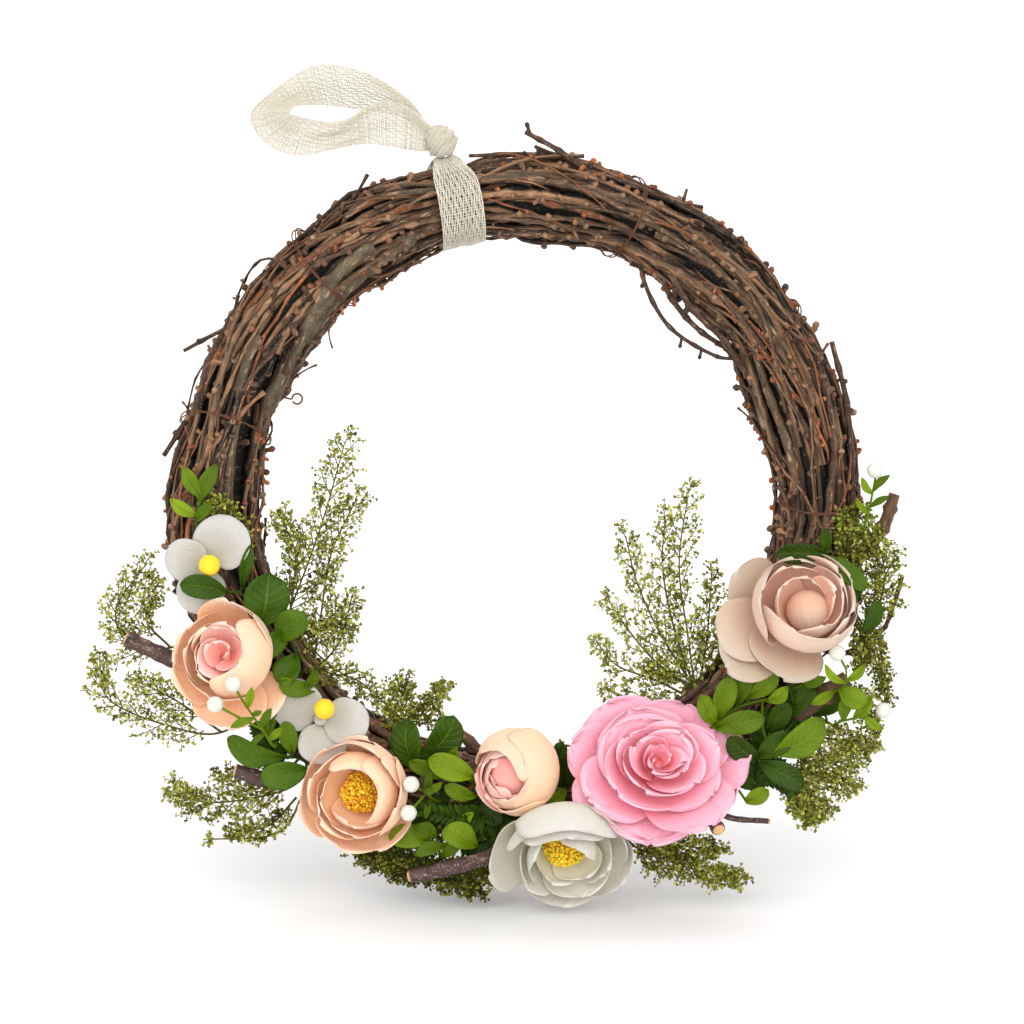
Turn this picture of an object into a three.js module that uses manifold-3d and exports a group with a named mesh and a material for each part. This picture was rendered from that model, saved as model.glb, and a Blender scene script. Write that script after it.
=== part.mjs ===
// Easter door wreath: a ring of bound twigs dressed with cloth flowers, leafy sprigs, berry picks
// and dried sprays, with an open-weave ribbon tied round it whose loop goes over the door hook.
// Millimetres, +Z up. The wreath faces -Y and its back lies against the door at +Y.
// Places are given from the middle of the ring. The finished group is moved so that its origin is
// the hook point in the ribbon's loop.

import * as THREE from 'three';
import { mergeVertices } from 'three/addons/utils/BufferGeometryUtils.js';
import Module from 'manifold-3d';

const wasm = await Module();
wasm.setup();

// Driving dimensions
const CLEARANCE = 0.3;
const HOOK = new THREE.Vector3(-76, -6, 165);
const RING_RADIUS = 128.5;
const BUNDLE_RADIUS = 15.2;
const BUNDLE_DEPTH = 0.94;
const TWIG_RADIUS = 1.7;
const TWIG_LIFT = 2.9;
const FREE_TWIGS = 23;
const WIRE_RADIUS = 0.6;
const TIE_ANGLES = [2, 34.5, 68.5, 128, 165.5];
const TIE_PINCH = 0.1;
const RIBBON_WIDTH = 18;
const RIBBON_THICKNESS = 0.8;
const RIBBON_ANGLE = 100.5;
const BLADE_THICKNESS = 0.8;
const PETAL_THICKNESS = 0.9;
const BERRY_RADIUS = 3.7;
const SEAM_TOLERANCE = 0.2;

const MATERIALS = {
  twig: { color: 0x5a4b41, roughness: 0.85 },
  wire: { color: 0x8a5636, roughness: 0.5, metalness: 0.6 },
  ribbon: { color: 0xebe1c8, roughness: 0.9 },
  stick: { color: 0x5f4b46, roughness: 0.8 },
  peach: { color: 0xfac8a5, roughness: 0.7 },
  heart: { color: 0xf08c96, roughness: 0.7 },
  white: { color: 0xf2efe4, roughness: 0.7 },
  stamen: { color: 0xf0b928, roughness: 0.7 },
  pink: { color: 0xf5a5c3, roughness: 0.7 },
  deepPink: { color: 0xee7d9c, roughness: 0.7 },
  blush: { color: 0xefcab6, roughness: 0.7 },
  berry: { color: 0xf2f2ec, roughness: 0.4 },
  darkLeaf: { color: 0x2f6a20, roughness: 0.45 },
  lightLeaf: { color: 0x7ba83c, roughness: 0.45 },
  floret: { color: 0x6e7d32, roughness: 0.8 },
};

const vector = (place) => new THREE.Vector3(...place);
const radians = THREE.MathUtils.degToRad;

// A repeatable stream of numbers from 0 to 1
function randomFrom(seed) {
  let state = seed;
  return () => {
    state = (state + 0x6d2b79f5) | 0;
    let mixed = Math.imul(state ^ (state >>> 15), 1 | state);
    mixed = (mixed + Math.imul(mixed ^ (mixed >>> 7), 61 | mixed)) ^ mixed;
    return ((mixed ^ (mixed >>> 14)) >>> 0) / 4294967296;
  };
}

// Closed forms

function geometryOf(points, triangles) {
  const geometry = new THREE.BufferGeometry();
  const position = points.flatMap((point) => [point.x, point.y, point.z]);
  geometry.setAttribute('position', new THREE.Float32BufferAttribute(position, 3));
  let volume = 0;
  for (const [a, b, c] of triangles) {
    volume += points[a].dot(points[b].clone().cross(points[c]));
  }
  const outward = volume < 0 ? triangles.map(([a, b, c]) => [a, c, b]) : triangles;
  geometry.setIndex(outward.flat());
  return geometry;
}

// A skin over rows of points. A row of one point is a tip, and the end rows are closed. With
// looped set, the last row joins the first, as round a ring.
function skin(rows, looped = false) {
  const points = rows.flat();
  const starts = rows.map((_, i) => rows.slice(0, i).reduce((sum, row) => sum + row.length, 0));
  const triangles = [];
  const bands = looped ? rows.length : rows.length - 1;
  for (let i = 0; i < bands; i++) {
    const next = (i + 1) % rows.length;
    const sides = Math.max(rows[i].length, rows[next].length);
    for (let j = 0; j < sides; j++) {
      const a = starts[i] + (j % rows[i].length);
      const b = starts[i] + ((j + 1) % rows[i].length);
      const c = starts[next] + (j % rows[next].length);
      const d = starts[next] + ((j + 1) % rows[next].length);
      if (a !== b) triangles.push([a, b, c]);
      if (c !== d) triangles.push([b, d, c]);
    }
  }
  if (!looped) {
    for (let j = 1; j + 1 < rows[0].length; j++) triangles.push([0, j + 1, j]);
    const last = starts[rows.length - 1];
    for (let j = 1; j + 1 < rows.at(-1).length; j++) triangles.push([last, last + j, last + j + 1]);
  }
  return geometryOf(points, triangles);
}

// A tube of a few sides along points, with its radius given for each point. A last radius of 0
// ends it in a tip.
function tube(points, radii, sides) {
  const rows = [];
  let side = new THREE.Vector3(0.31, 0.89, 0.33);
  points.forEach((point, i) => {
    const before = points[Math.max(i - 1, 0)];
    const after = points[Math.min(i + 1, points.length - 1)];
    const along = after.clone().sub(before).normalize();
    side = side.clone().addScaledVector(along, -side.dot(along)).normalize();
    const across = along.clone().cross(side);
    if (radii[i] === 0) {
      rows.push([point.clone()]);
      return;
    }
    const row = [];
    for (let k = 0; k < sides; k++) {
      const turn = (2 * Math.PI * k) / sides;
      row.push(point.clone()
        .addScaledVector(side, radii[i] * Math.cos(turn))
        .addScaledVector(across, radii[i] * Math.sin(turn)));
    }
    rows.push(row);
  });
  return skin(rows);
}

// A thin blade of even thickness over surface(u, v), with u from -1 to 1 across and v from 0 to 1
// along. Both faces are split into triangles alike.
function blade(surface, across, along, thickness) {
  const columns = across + 1;
  const middle = [];
  for (let j = 0; j <= along; j++) {
    const v = 1 - (1 - j / along) ** 1.3;
    for (let i = 0; i <= across; i++) middle.push(surface((2 * i) / across - 1, v));
  }
  const at = (i, j) => middle[j * columns + i];
  const offsets = middle.map((_, n) => {
    const i = n % columns;
    const j = Math.floor(n / columns);
    const du = at(Math.min(i + 1, across), j).clone().sub(at(Math.max(i - 1, 0), j));
    const dv = at(i, Math.min(j + 1, along)).clone().sub(at(i, Math.max(j - 1, 0)));
    return du.cross(dv).normalize().multiplyScalar(thickness / 2);
  });
  const front = middle.map((point, n) => point.clone().add(offsets[n]));
  const back = middle.map((point, n) => point.clone().sub(offsets[n]));
  const total = middle.length;
  const triangles = [];
  for (let j = 0; j < along; j++) {
    for (let i = 0; i < across; i++) {
      const a = j * columns + i;
      const b = a + 1;
      const c = b + columns;
      const d = a + columns;
      triangles.push([a, b, c], [a, c, d]);
      triangles.push([a + total, c + total, b + total], [a + total, d + total, c + total]);
    }
  }
  const rim = [];
  for (let i = 0; i < across; i++) rim.push([i, i + 1]);
  for (let j = 0; j < along; j++) rim.push([j * columns + across, (j + 1) * columns + across]);
  for (let i = across; i > 0; i--) rim.push([along * columns + i, along * columns + i - 1]);
  for (let j = along; j > 0; j--) rim.push([j * columns, (j - 1) * columns]);
  for (const [a, b] of rim) triangles.push([b, a, a + total], [b, a + total, b + total]);
  return geometryOf([...front, ...back], triangles);
}

// A round form about local +Z from a profile of [radius, height] pairs. ripple raises alternate
// points, for a bud's folds or a head of stamens.
function turned(profile, sides, ripple = 0) {
  const rows = profile.map(([radius, height], i) => {
    if (radius === 0) return [new THREE.Vector3(0, 0, height)];
    return Array.from({ length: sides }, (_, k) => {
      const turn = (2 * Math.PI * (k + (i % 2) / 2)) / sides;
      const reach = radius * (1 + ripple * (k % 2 === i % 2 ? 1 : -1));
      return new THREE.Vector3(reach * Math.cos(turn), reach * Math.sin(turn), height);
    });
  });
  return skin(rows);
}

// Joining and cutting

// The geometry with each corner moved out so that every face shifts by about the clearance
function swollen(geometry) {
  const position = geometry.getAttribute('position');
  const index = geometry.getIndex();
  const corners = Array.from({ length: position.count }, () => []);
  for (let i = 0; i < index.count; i += 3) {
    const [a, b, c] = [0, 1, 2].map((k) => new THREE.Vector3().fromBufferAttribute(
      position, index.getX(i + k)));
    const normal = b.sub(a).cross(c.sub(a)).normalize();
    for (let k = 0; k < 3; k++) corners[index.getX(i + k)].push(normal);
  }
  const moved = corners.map((normals, n) => {
    const mean = normals.reduce((sum, normal) => sum.add(normal), new THREE.Vector3()).normalize();
    const least = Math.min(...normals.map((normal) => normal.dot(mean)));
    const shift = CLEARANCE / Math.max(least, 0.45);
    return new THREE.Vector3().fromBufferAttribute(position, n).addScaledVector(mean, shift);
  });
  const triangles = [];
  for (let i = 0; i < index.count; i += 3) {
    triangles.push([index.getX(i), index.getX(i + 1), index.getX(i + 2)]);
  }
  return geometryOf(moved, triangles);
}

function manifoldOf(geometry) {
  const merged = mergeVertices(geometry, 1e-4);
  return new wasm.Manifold(new wasm.Mesh({
    numProp: 3,
    vertProperties: new Float32Array(merged.getAttribute('position').array),
    triVerts: new Uint32Array(merged.getIndex().array),
  }));
}

const joined = (pieces) => wasm.Manifold.union(pieces.map(manifoldOf));

function largest(body) {
  return body.decompose().reduce((best, part) => (part.volume() > best.volume() ? part : best));
}

// Solids are made in order. Each is cut clear of those made before it, and keeps its largest part.
const ring = new THREE.Group();
const made = [];

function make(name, material, pieces) {
  let body = joined(pieces);
  for (const other of made) {
    if (other.bounds.intersectsBox(boundsOf(body))) body = body.subtract(other.space);
  }
  body = largest(largest(body).asOriginal().simplify(SEAM_TOLERANCE));
  const { vertProperties, triVerts } = body.getMesh();
  const geometry = new THREE.BufferGeometry();
  geometry.setAttribute('position', new THREE.Float32BufferAttribute(vertProperties, 3));
  geometry.setIndex(new THREE.Uint32BufferAttribute(triVerts, 1));
  geometry.computeVertexNormals();
  const mesh = new THREE.Mesh(geometry, new THREE.MeshStandardMaterial(MATERIALS[material]));
  mesh.name = name;
  ring.add(mesh);
  const space = joined(pieces.map(swollen));
  made.push({ space, bounds: boundsOf(space) });
}

function boundsOf(body) {
  const { min, max } = body.boundingBox();
  return new THREE.Box3(vector(min), vector(max));
}

// Twig ring

// How far an angle in degrees lies from another, as a bell of 1 at no distance
function bell(degrees, centre, spread) {
  const apart = ((degrees - centre + 540) % 360) - 180;
  return Math.exp(-((apart / spread) ** 2));
}

// The middle line leaves a true circle a little: it lies out to the upper right, with a dip there
function middleRadius(degrees) {
  return RING_RADIUS + 3.4 * Math.cos(radians(degrees - 26)) - 7 * bell(degrees, 47, 14);
}

// The bundle is fuller on the left and the upper right, and is drawn in under each tie
function bundleScale(degrees) {
  const full = 1 + 0.05 * bell(degrees, 180, 50) + 0.08 * bell(degrees, 50, 14);
  const drawnIn = [...TIE_ANGLES, RIBBON_ANGLE].reduce(
    (sum, tie) => sum + TIE_PINCH * bell(degrees, tie, 7), 0);
  return full - drawnIn;
}

// A point of the bundle: degrees round the ring from +X, turn round the section from its outer
// side with the front at -90, and reach from the section's middle before the bundle's scale
function onBundle(degrees, turn, reach) {
  const angle = radians(degrees);
  const scaled = reach * bundleScale(degrees);
  const outward = middleRadius(degrees) + scaled * Math.cos(radians(turn));
  return new THREE.Vector3(
    outward * Math.cos(angle),
    scaled * BUNDLE_DEPTH * Math.sin(radians(turn)),
    outward * Math.sin(angle));
}

// Twigs packed side by side: ridges and grooves that run round the ring and wander a little
function packedTwigs() {
  const steps = 30;
  const ridges = 10;
  const rows = [];
  for (let i = 0; i < steps; i++) {
    const degrees = (360 * i) / steps;
    rows.push(Array.from({ length: 2 * ridges }, (_, j) => {
      const wander = 9 * Math.sin(radians(2 * degrees) + j * 0.7) + 5 * Math.sin(radians(5 * degrees));
      const swell = 0.7 * Math.sin(radians(4 * degrees) + j * 2.3);
      const reach = BUNDLE_RADIUS + swell + (j % 2 === 0 ? 1 : -1.3);
      return onBundle(degrees, (180 * j) / ridges + wander, reach);
    }));
  }
  return skin(rows, true);
}

// Twigs that lie over the packed ones at a slant, with both ends tucked in or one left free
function freeTwigs() {
  const random = randomFrom(14);
  const twigs = [];
  for (let n = 0; n < FREE_TWIGS; n++) {
    const start = (360 * n) / FREE_TWIGS + 20 * random();
    const span = 55 + 50 * random();
    const turn = (222.5 * n) % 360;
    const slant = 90 * (random() - 0.5);
    const lift = BUNDLE_RADIUS + TWIG_LIFT + 0.6 * random();
    const freeEnd = n % 4 === 0;
    const steps = Math.round(span / 16);
    const points = [];
    const radii = [];
    for (let i = 0; i <= steps; i++) {
      const t = i / steps;
      const tucked = i === 0 || (i === steps && !freeEnd);
      const reach = tucked ? BUNDLE_RADIUS - 2.5 : lift + (freeEnd && i === steps ? 2 : 0);
      points.push(onBundle(start + span * t, turn + slant * t, reach));
      radii.push(TWIG_RADIUS * (1.15 - 0.45 * t) * (i % 2 === 0 ? 1 : 0.86));
    }
    twigs.push(tube(points, radii, 3));
  }
  return twigs;
}

// Tips and branch ends that stand out of the bundle, each a radius and its points
const STRAY_TWIGS = [
  [1.4, [60, -4, 122], [38, -8, 137], [22, -8, 149], [6, -6, 158]],
  [1.1, [32, -6, 142], [10, -4, 152]],
  [1.1, [10, -4, 148], [-18, -4, 148]],
  [0.9, [72, -2, 124], [75, -2, 134]],
  [1.1, [-122, -3, 74], [-140, -4, 65]],
  [1.4, [-134, -2, 42], [-149, -2, 20]],
  [1.5, [146, -4, 0], [144, -4, 40], [137, -4, 69]],
  [1.0, [56, -2, 98], [67, -2, 76], [87, -2, 63], [98, -2, 62]],
  [1.2, [112, -4, -34], [113, -6, -12]],
  [3.4, [142, -6, -30], [158, -8, -12], [164, -8, 4]],
  [1.5, [142, -4, -68], [160, -8, -54], [167, -8, -31]],
  [5.0, [122, -16, -88], [143, -20, -74]],
  [2.3, [70, -14, -92], [90, -16, -76]],
  [2.0, [68, -14, -90], [84, -18, -75]],
  [2.6, [-8, -12, -112], [-26, -14, -94]],
  [2.2, [-46, -10, -104], [-81, -10, -84]],
  [3.0, [84, -20, -131], [88, -30, -138]],
];

// The place half way in among the twigs from a point at their surface
function rootBelow(point) {
  const degrees = THREE.MathUtils.radToDeg(Math.atan2(point.z, point.x));
  const middle = onBundle(degrees, 0, 0);
  const outward = point.clone().sub(middle).normalize();
  return middle.addScaledVector(outward, BUNDLE_RADIUS / 2);
}

function twigRing() {
  const strays = STRAY_TWIGS.map(([radius, ...places]) => {
    const points = places.map(vector);
    points.unshift(rootBelow(points[0]));
    const radii = points.map((_, i) => radius * (1.1 - (0.25 * i) / (points.length - 1)));
    return tube(points, radii, radius > 2 ? 5 : 3);
  });
  return [packedTwigs(), ...freeTwigs(), ...strays];
}

// A wire wound once round the bundle, with its slant across the ring
function wireTie(degrees, slant) {
  const steps = 12;
  const sides = 3;
  const reach = BUNDLE_RADIUS + TWIG_LIFT + TWIG_RADIUS + 0.5;
  const centre = (i) => {
    const turn = (360 * (i % steps)) / steps;
    return onBundle(degrees + slant * Math.cos(radians(turn)), turn, reach);
  };
  const rows = [];
  for (let i = 0; i < steps; i++) {
    const point = centre(i);
    const along = centre(i + 1).sub(centre(i + steps - 1)).normalize();
    const middle = onBundle(degrees, 0, 0);
    const outward = point.clone().sub(middle);
    outward.addScaledVector(along, -outward.dot(along)).normalize();
    const across = along.clone().cross(outward);
    rows.push(Array.from({ length: sides }, (_, k) => {
      const turn = (2 * Math.PI * k) / sides;
      return point.clone()
        .addScaledVector(outward, WIRE_RADIUS * Math.cos(turn))
        .addScaledVector(across, WIRE_RADIUS * Math.sin(turn));
    }));
  }
  return skin(rows, true);
}

// Ribbon

// A flat strip: each station gives its middle, the direction of its width and its width
function strip(stations, looped) {
  const count = stations.length;
  const rows = stations.map(({ middle, widthways, width }, i) => {
    const before = stations[looped ? (i + count - 1) % count : Math.max(i - 1, 0)].middle;
    const after = stations[looped ? (i + 1) % count : Math.min(i + 1, count - 1)].middle;
    const along = after.clone().sub(before).normalize();
    const side = widthways.clone().addScaledVector(along, -widthways.dot(along)).normalize();
    const out = along.clone().cross(side).multiplyScalar(RIBBON_THICKNESS / 2);
    side.multiplyScalar(width / 2);
    return [
      middle.clone().add(side).add(out),
      middle.clone().sub(side).add(out),
      middle.clone().sub(side).sub(out),
      middle.clone().add(side).sub(out),
    ];
  });
  return skin(rows, looped);
}

const KNOT = new THREE.Vector3(-30, -5, 154);

// The loop lies over to the left: out along its upper strand at the back, round at the far end,
// and home along its lower strand in front. Each station: place, width's direction, width.
const LOOP = [
  [[-31, -3, 156], [0.8, 0, 1], 7],
  [[-38, -1, 165], [0.7, 0, 1], 11],
  [[-48, 2, 174], [0.5, 0.1, 1], 14],
  [[-60, 5, 178.5], [0.25, 0.1, 1], 16],
  [[-74, 6, 179.5], [-0.05, 0.1, 1], 16],
  [[-88, 4, 177], [-0.35, 0.1, 1], 16],
  [[-99, -1, 171], [-0.5, 0, 1], 16],
  [[-104, -8, 165], [-0.55, -0.1, 1], 16],
  [[-99, -15, 159], [-0.5, 0.1, 1], 14],
  [[-88, -17, 156], [-0.3, 0.1, 1], 12],
  [[-74, -16, 156], [-0.1, 0.1, 1], 12],
  [[-60, -13, 157], [0.1, 0.1, 1], 12],
  [[-47, -10, 156], [0.1, 0.1, 1], 11],
  [[-38, -7, 155], [0.1, 0, 1], 9],
  [[-31, -6, 154], [0.1, 0, 1], 7],
];

function ribbon() {
  const reach = BUNDLE_RADIUS + TWIG_LIFT + TWIG_RADIUS + 1.2;
  const ring = [];
  for (let turn = 0; turn < 360; turn += 22.5) {
    const along = onBundle(RIBBON_ANGLE + 1, 0, 0).sub(onBundle(RIBBON_ANGLE - 1, 0, 0));
    ring.push({ middle: onBundle(RIBBON_ANGLE, turn, reach), widthways: along, width: RIBBON_WIDTH });
  }
  const loop = LOOP.map(([place, widthways, width]) => (
    { middle: vector(place), widthways: vector(widthways), width }));
  const knot = turned([[0, -11], [5, -7], [7, 0], [5.5, 4.5], [0, 7]], 8, 0.07);
  knot.rotateX(0.4);
  knot.translate(KNOT.x, KNOT.y, KNOT.z);
  return [strip(ring, true), strip(loop, false), knot];
}

// Flowers

// A petal's half width along it: a claw at the root, full past the middle and a rounded tip
function petalWidth(v) {
  const open = 0.18 + 0.82 * Math.sin((Math.PI / 2) * Math.min(1, v / 0.55));
  return v < 0.55 ? open : open * Math.sqrt(1 - 0.92 * ((v - 0.55) / 0.45) ** 2);
}

// One petal in the flower's own frame, which faces local +Z. Its middle follows a profile of
// [radius, height] pairs, it wraps round the axis, and one side is tucked under its neighbour.
function petal(azimuth, { width, profile, tuck = 1.2, across = 2, along = 3 }) {
  const line = new THREE.SplineCurve(profile.map(([r, h]) => new THREE.Vector2(r, h)));
  return blade((u, v) => {
    const point = line.getPoint(v);
    const tangent = line.getTangent(v);
    const bend = Math.min((width * petalWidth(v)) / Math.max(point.x, 3), 1.25);
    const turn = azimuth + u * bend;
    const reach = point.x + tuck * u * tangent.y;
    const height = point.y - tuck * u * tangent.x;
    return new THREE.Vector3(reach * Math.cos(turn), reach * Math.sin(turn), height);
  }, across, along, PETAL_THICKNESS);
}

function petals({ count, start = 0, arc = 360, ...form }) {
  return Array.from({ length: count }, (_, k) => petal(radians(start + (arc * k) / count), form));
}

// Moves a flower's pieces from its own frame to its place on the ring
function placed(pieces, { at, facing }) {
  const forward = vector(facing).normalize();
  const right = new THREE.Vector3(0, 0, 1).cross(forward).normalize();
  const up = forward.clone().cross(right);
  const matrix = new THREE.Matrix4().makeBasis(right, up, forward).setPosition(...at);
  return pieces.map((piece) => piece.applyMatrix4(matrix));
}

// The swollen base that petals grow from
const receptacle = (radius) => turned([[2, -4], [radius, -1.5], [radius * 0.9, 3.5], [0, 4.5]], 7);
const bud = (radius, height) => turned(
  [[1.5, 3], [radius * 0.8, height * 0.35], [radius, height * 0.6], [radius * 0.6, height * 0.9],
    [0, height]], 8, 0.08);
const stamens = (radius, height) => turned(
  [[1.5, 3], [radius * 0.6, height * 0.45], [radius, height * 0.7], [radius * 0.7, height * 0.95],
    [0, height]], 12, 0.09);

const ball = () => turned([[1, 3], [3.6, 4.5], [4.6, 7.5], [3.4, 10.5], [0, 12]], 7);

const FLOWERS = {
  peach_rose: {
    at: [-124, -19, -66],
    facing: [-0.1, -0.96, 0.2],
    material: 'peach',
    layers: [
      { count: 2, start: 0, width: 17, profile: [[5.5, 0], [16, 3], [21, 11], [20, 20]] },
      { count: 2, start: 95, arc: 270, width: 17, profile: [[5.5, -1], [18, 2], [26, 10], [26, 17]] },
      { count: 1, start: -50, width: 15, profile: [[5.5, -2], [18, -1], [28, 3], [34, 9]] },
      { count: 3, start: 50, width: 15, along: 2, profile: [[5, 2], [12, 5], [16, 14], [15, 23]] },
      { count: 2, start: 100, width: 11, along: 2, profile: [[4, 3], [7, 7], [10, 15], [9, 23]] },
    ],
    centre: { name: 'heart', material: 'heart', form: bud(5, 20) },
  },
  peach_ranunculus: {
    at: [-65, -20, -119],
    facing: [-0.05, -1, 0.06],
    material: 'peach',
    layers: [
      { count: 5, start: 10, width: 16, profile: [[5.5, 0], [16, 2], [23, 10], [23.5, 18]] },
      { count: 4, start: 46, width: 14, along: 2, profile: [[5, 2], [12, 5], [17, 13], [15, 21]] },
    ],
    centre: { name: 'stamens', material: 'stamen', form: stamens(8, 13) },
  },
  peach_bud: {
    at: [7, -22, -112],
    facing: [-0.5, -0.85, 0.1],
    material: 'peach',
    base: 7,
    layers: [
      { count: 3, start: 0, width: 20, profile: [[5.5, 0], [13, 3], [17.5, 13], [13, 25]] },
      { count: 2, start: 120, width: 11, profile: [[4.2, 2.4], [8.5, 7], [12, 15], [8.6, 23]] },
    ],
    centre: { name: 'heart', material: 'heart', form: bud(5.5, 21) },
  },
  pink_rose: {
    at: [62, -28, -114],
    facing: [0.05, -0.9, 0.38],
    material: 'pink',
    layers: [
      { count: 6, start: 0, width: 21, profile: [[5.5, -1], [21, 0], [34, 4], [40, 5]] },
      { count: 5, start: 30, width: 18, profile: [[5.3, 1], [17, 4], [28, 11], [32, 14]] },
      { count: 3, start: 70, width: 19, profile: [[5, 2.5], [13, 7], [20, 16], [21, 21]] },
    ],
    centre: { name: 'centre', material: 'deepPink', form: bud(5, 21) },
    inner: { count: 3, start: 0, width: 10, along: 2, profile: [[2, 4], [7, 9], [12, 18], [13, 25]] },
  },
  white_ranunculus: {
    at: [22, -25, -146],
    facing: [0.12, -0.88, -0.4],
    material: 'white',
    layers: [
      { count: 5, start: 55, width: 19, profile: [[5.5, 0], [19, 2], [28, 8], [30, 15]] },
      { count: 3, start: 20, width: 18, along: 2, profile: [[5, 2], [13, 5], [19, 13], [17, 20]] },
    ],
    centre: { name: 'stamens', material: 'stamen', form: stamens(8.5, 13) },
  },
  blush_ranunculus: {
    at: [120, -22, -47],
    facing: [0.24, -0.94, 0.18],
    material: 'blush',
    base: 7,
    layers: [
      { count: 3, start: 155, arc: 180, width: 17, profile: [[5.5, -1], [17, -1], [27, 3], [32, 7]] },
      { count: 4, start: 15, width: 18, profile: [[5, 1], [14, 4], [20, 13], [20, 21]] },
      { count: 3, start: 50, width: 14, along: 2, profile: [[4, 3], [10, 7], [14.5, 15], [13, 22]] },
    ],
    centre: { name: 'heart', material: 'blush', form: bud(8, 19) },
  },
  white_blossom_left: {
    at: [-127, -24, -25],
    facing: [0, -1, 0.05],
    material: 'white',
    base: 3,
    layers: [
      { count: 3, start: 82, arc: 234, width: 11, profile: [[2.5, 0], [9, 2], [17, 5], [23, 5]] },
    ],
    centre: { name: 'ball', material: 'stamen', form: ball() },
  },
  white_blossom_low: {
    at: [-86, -22, -93],
    facing: [-0.05, -1, 0.1],
    material: 'white',
    base: 3,
    layers: [
      { count: 3, start: 15, width: 11, profile: [[2.5, 0], [9, 2], [15, 5], [20, 5]] },
    ],
    centre: { name: 'ball', material: 'stamen', form: ball() },
  },
};

function makeFlower(name, { layers, inner, centre, material, base = 6.5, ...pose }) {
  const place = vector(pose.at);
  const stalk = tube([rootBelow(place), place], [1.8, 1.8], 5);
  const outer = placed([receptacle(base), ...layers.flatMap(petals)], pose);
  make(`${name}_petals`, material, [stalk, ...outer]);
  const heart = inner ? [centre.form, ...petals(inner)] : [centre.form];
  make(`${name}_${centre.name}`, centre.material, placed(heart, pose));
}

// Leaves

// A leaf's half width along it: narrow at the stalk, fullest past the middle, a short point
function leafWidth(v) {
  return 0.14 + 0.86 * Math.sin(Math.PI * v ** 1.25) ** 0.8;
}

// A leaf from root to tip, creased along its rib and arched towards the viewer
function leaf(root, tip, halfWidth) {
  const along = tip.clone().sub(root);
  const side = new THREE.Vector3(0, -1, 0).cross(along).normalize();
  const out = along.clone().cross(side).normalize();
  return blade((u, v) => root.clone()
    .addScaledVector(along, v)
    .addScaledVector(side, u * halfWidth * leafWidth(v))
    .addScaledVector(out, halfWidth * (0.25 * Math.sin(Math.PI * v) + 0.2 * u * u)),
  halfWidth < 3 ? 1 : 2, halfWidth < 3 ? 2 : 3, BLADE_THICKNESS);
}

// A stem that comes out from among the twigs, passing through each of the fractions given
function stemAlong(curve, fractions, radius) {
  const steps = [...new Set([0, 1, ...fractions])].sort((a, b) => a - b);
  const points = [rootBelow(curve.getPoint(0)), ...steps.map((t) => curve.getPoint(t))];
  const radii = points.map((_, i) => radius * (1.1 - (0.5 * i) / points.length));
  return tube(points, radii, 3);
}

// A stem with leaves. Each leaf gives where on the stem it grows, its tip and its half width.
function sprig({ stem, radius = 0.9, leaves }) {
  const curve = new THREE.CatmullRomCurve3(stem.map(vector));
  const blades = leaves.map(([t, tip, halfWidth]) => leaf(curve.getPoint(t), vector(tip), halfWidth));
  return [stemAlong(curve, leaves.map(([t]) => t), radius), ...blades];
}

// A fern-like sprig: pairs of narrow leaflets along a bare rib
function ferny({ stem, pairs, reach }) {
  const curve = new THREE.CatmullRomCurve3(stem.map(vector));
  const leaves = [];
  for (let k = 0; k < pairs; k++) {
    const t = 0.35 + (0.6 * k) / pairs;
    const root = curve.getPoint(t);
    const along = curve.getTangent(t);
    const side = new THREE.Vector3(0, -1, 0).cross(along);
    for (const way of [-1, 1]) {
      const tip = root.clone().addScaledVector(side, way * reach).addScaledVector(along, reach * 0.6);
      leaves.push([t, [tip.x, tip.y - 1, tip.z], reach * 0.2]);
    }
  }
  return sprig({ stem, leaves });
}

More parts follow.
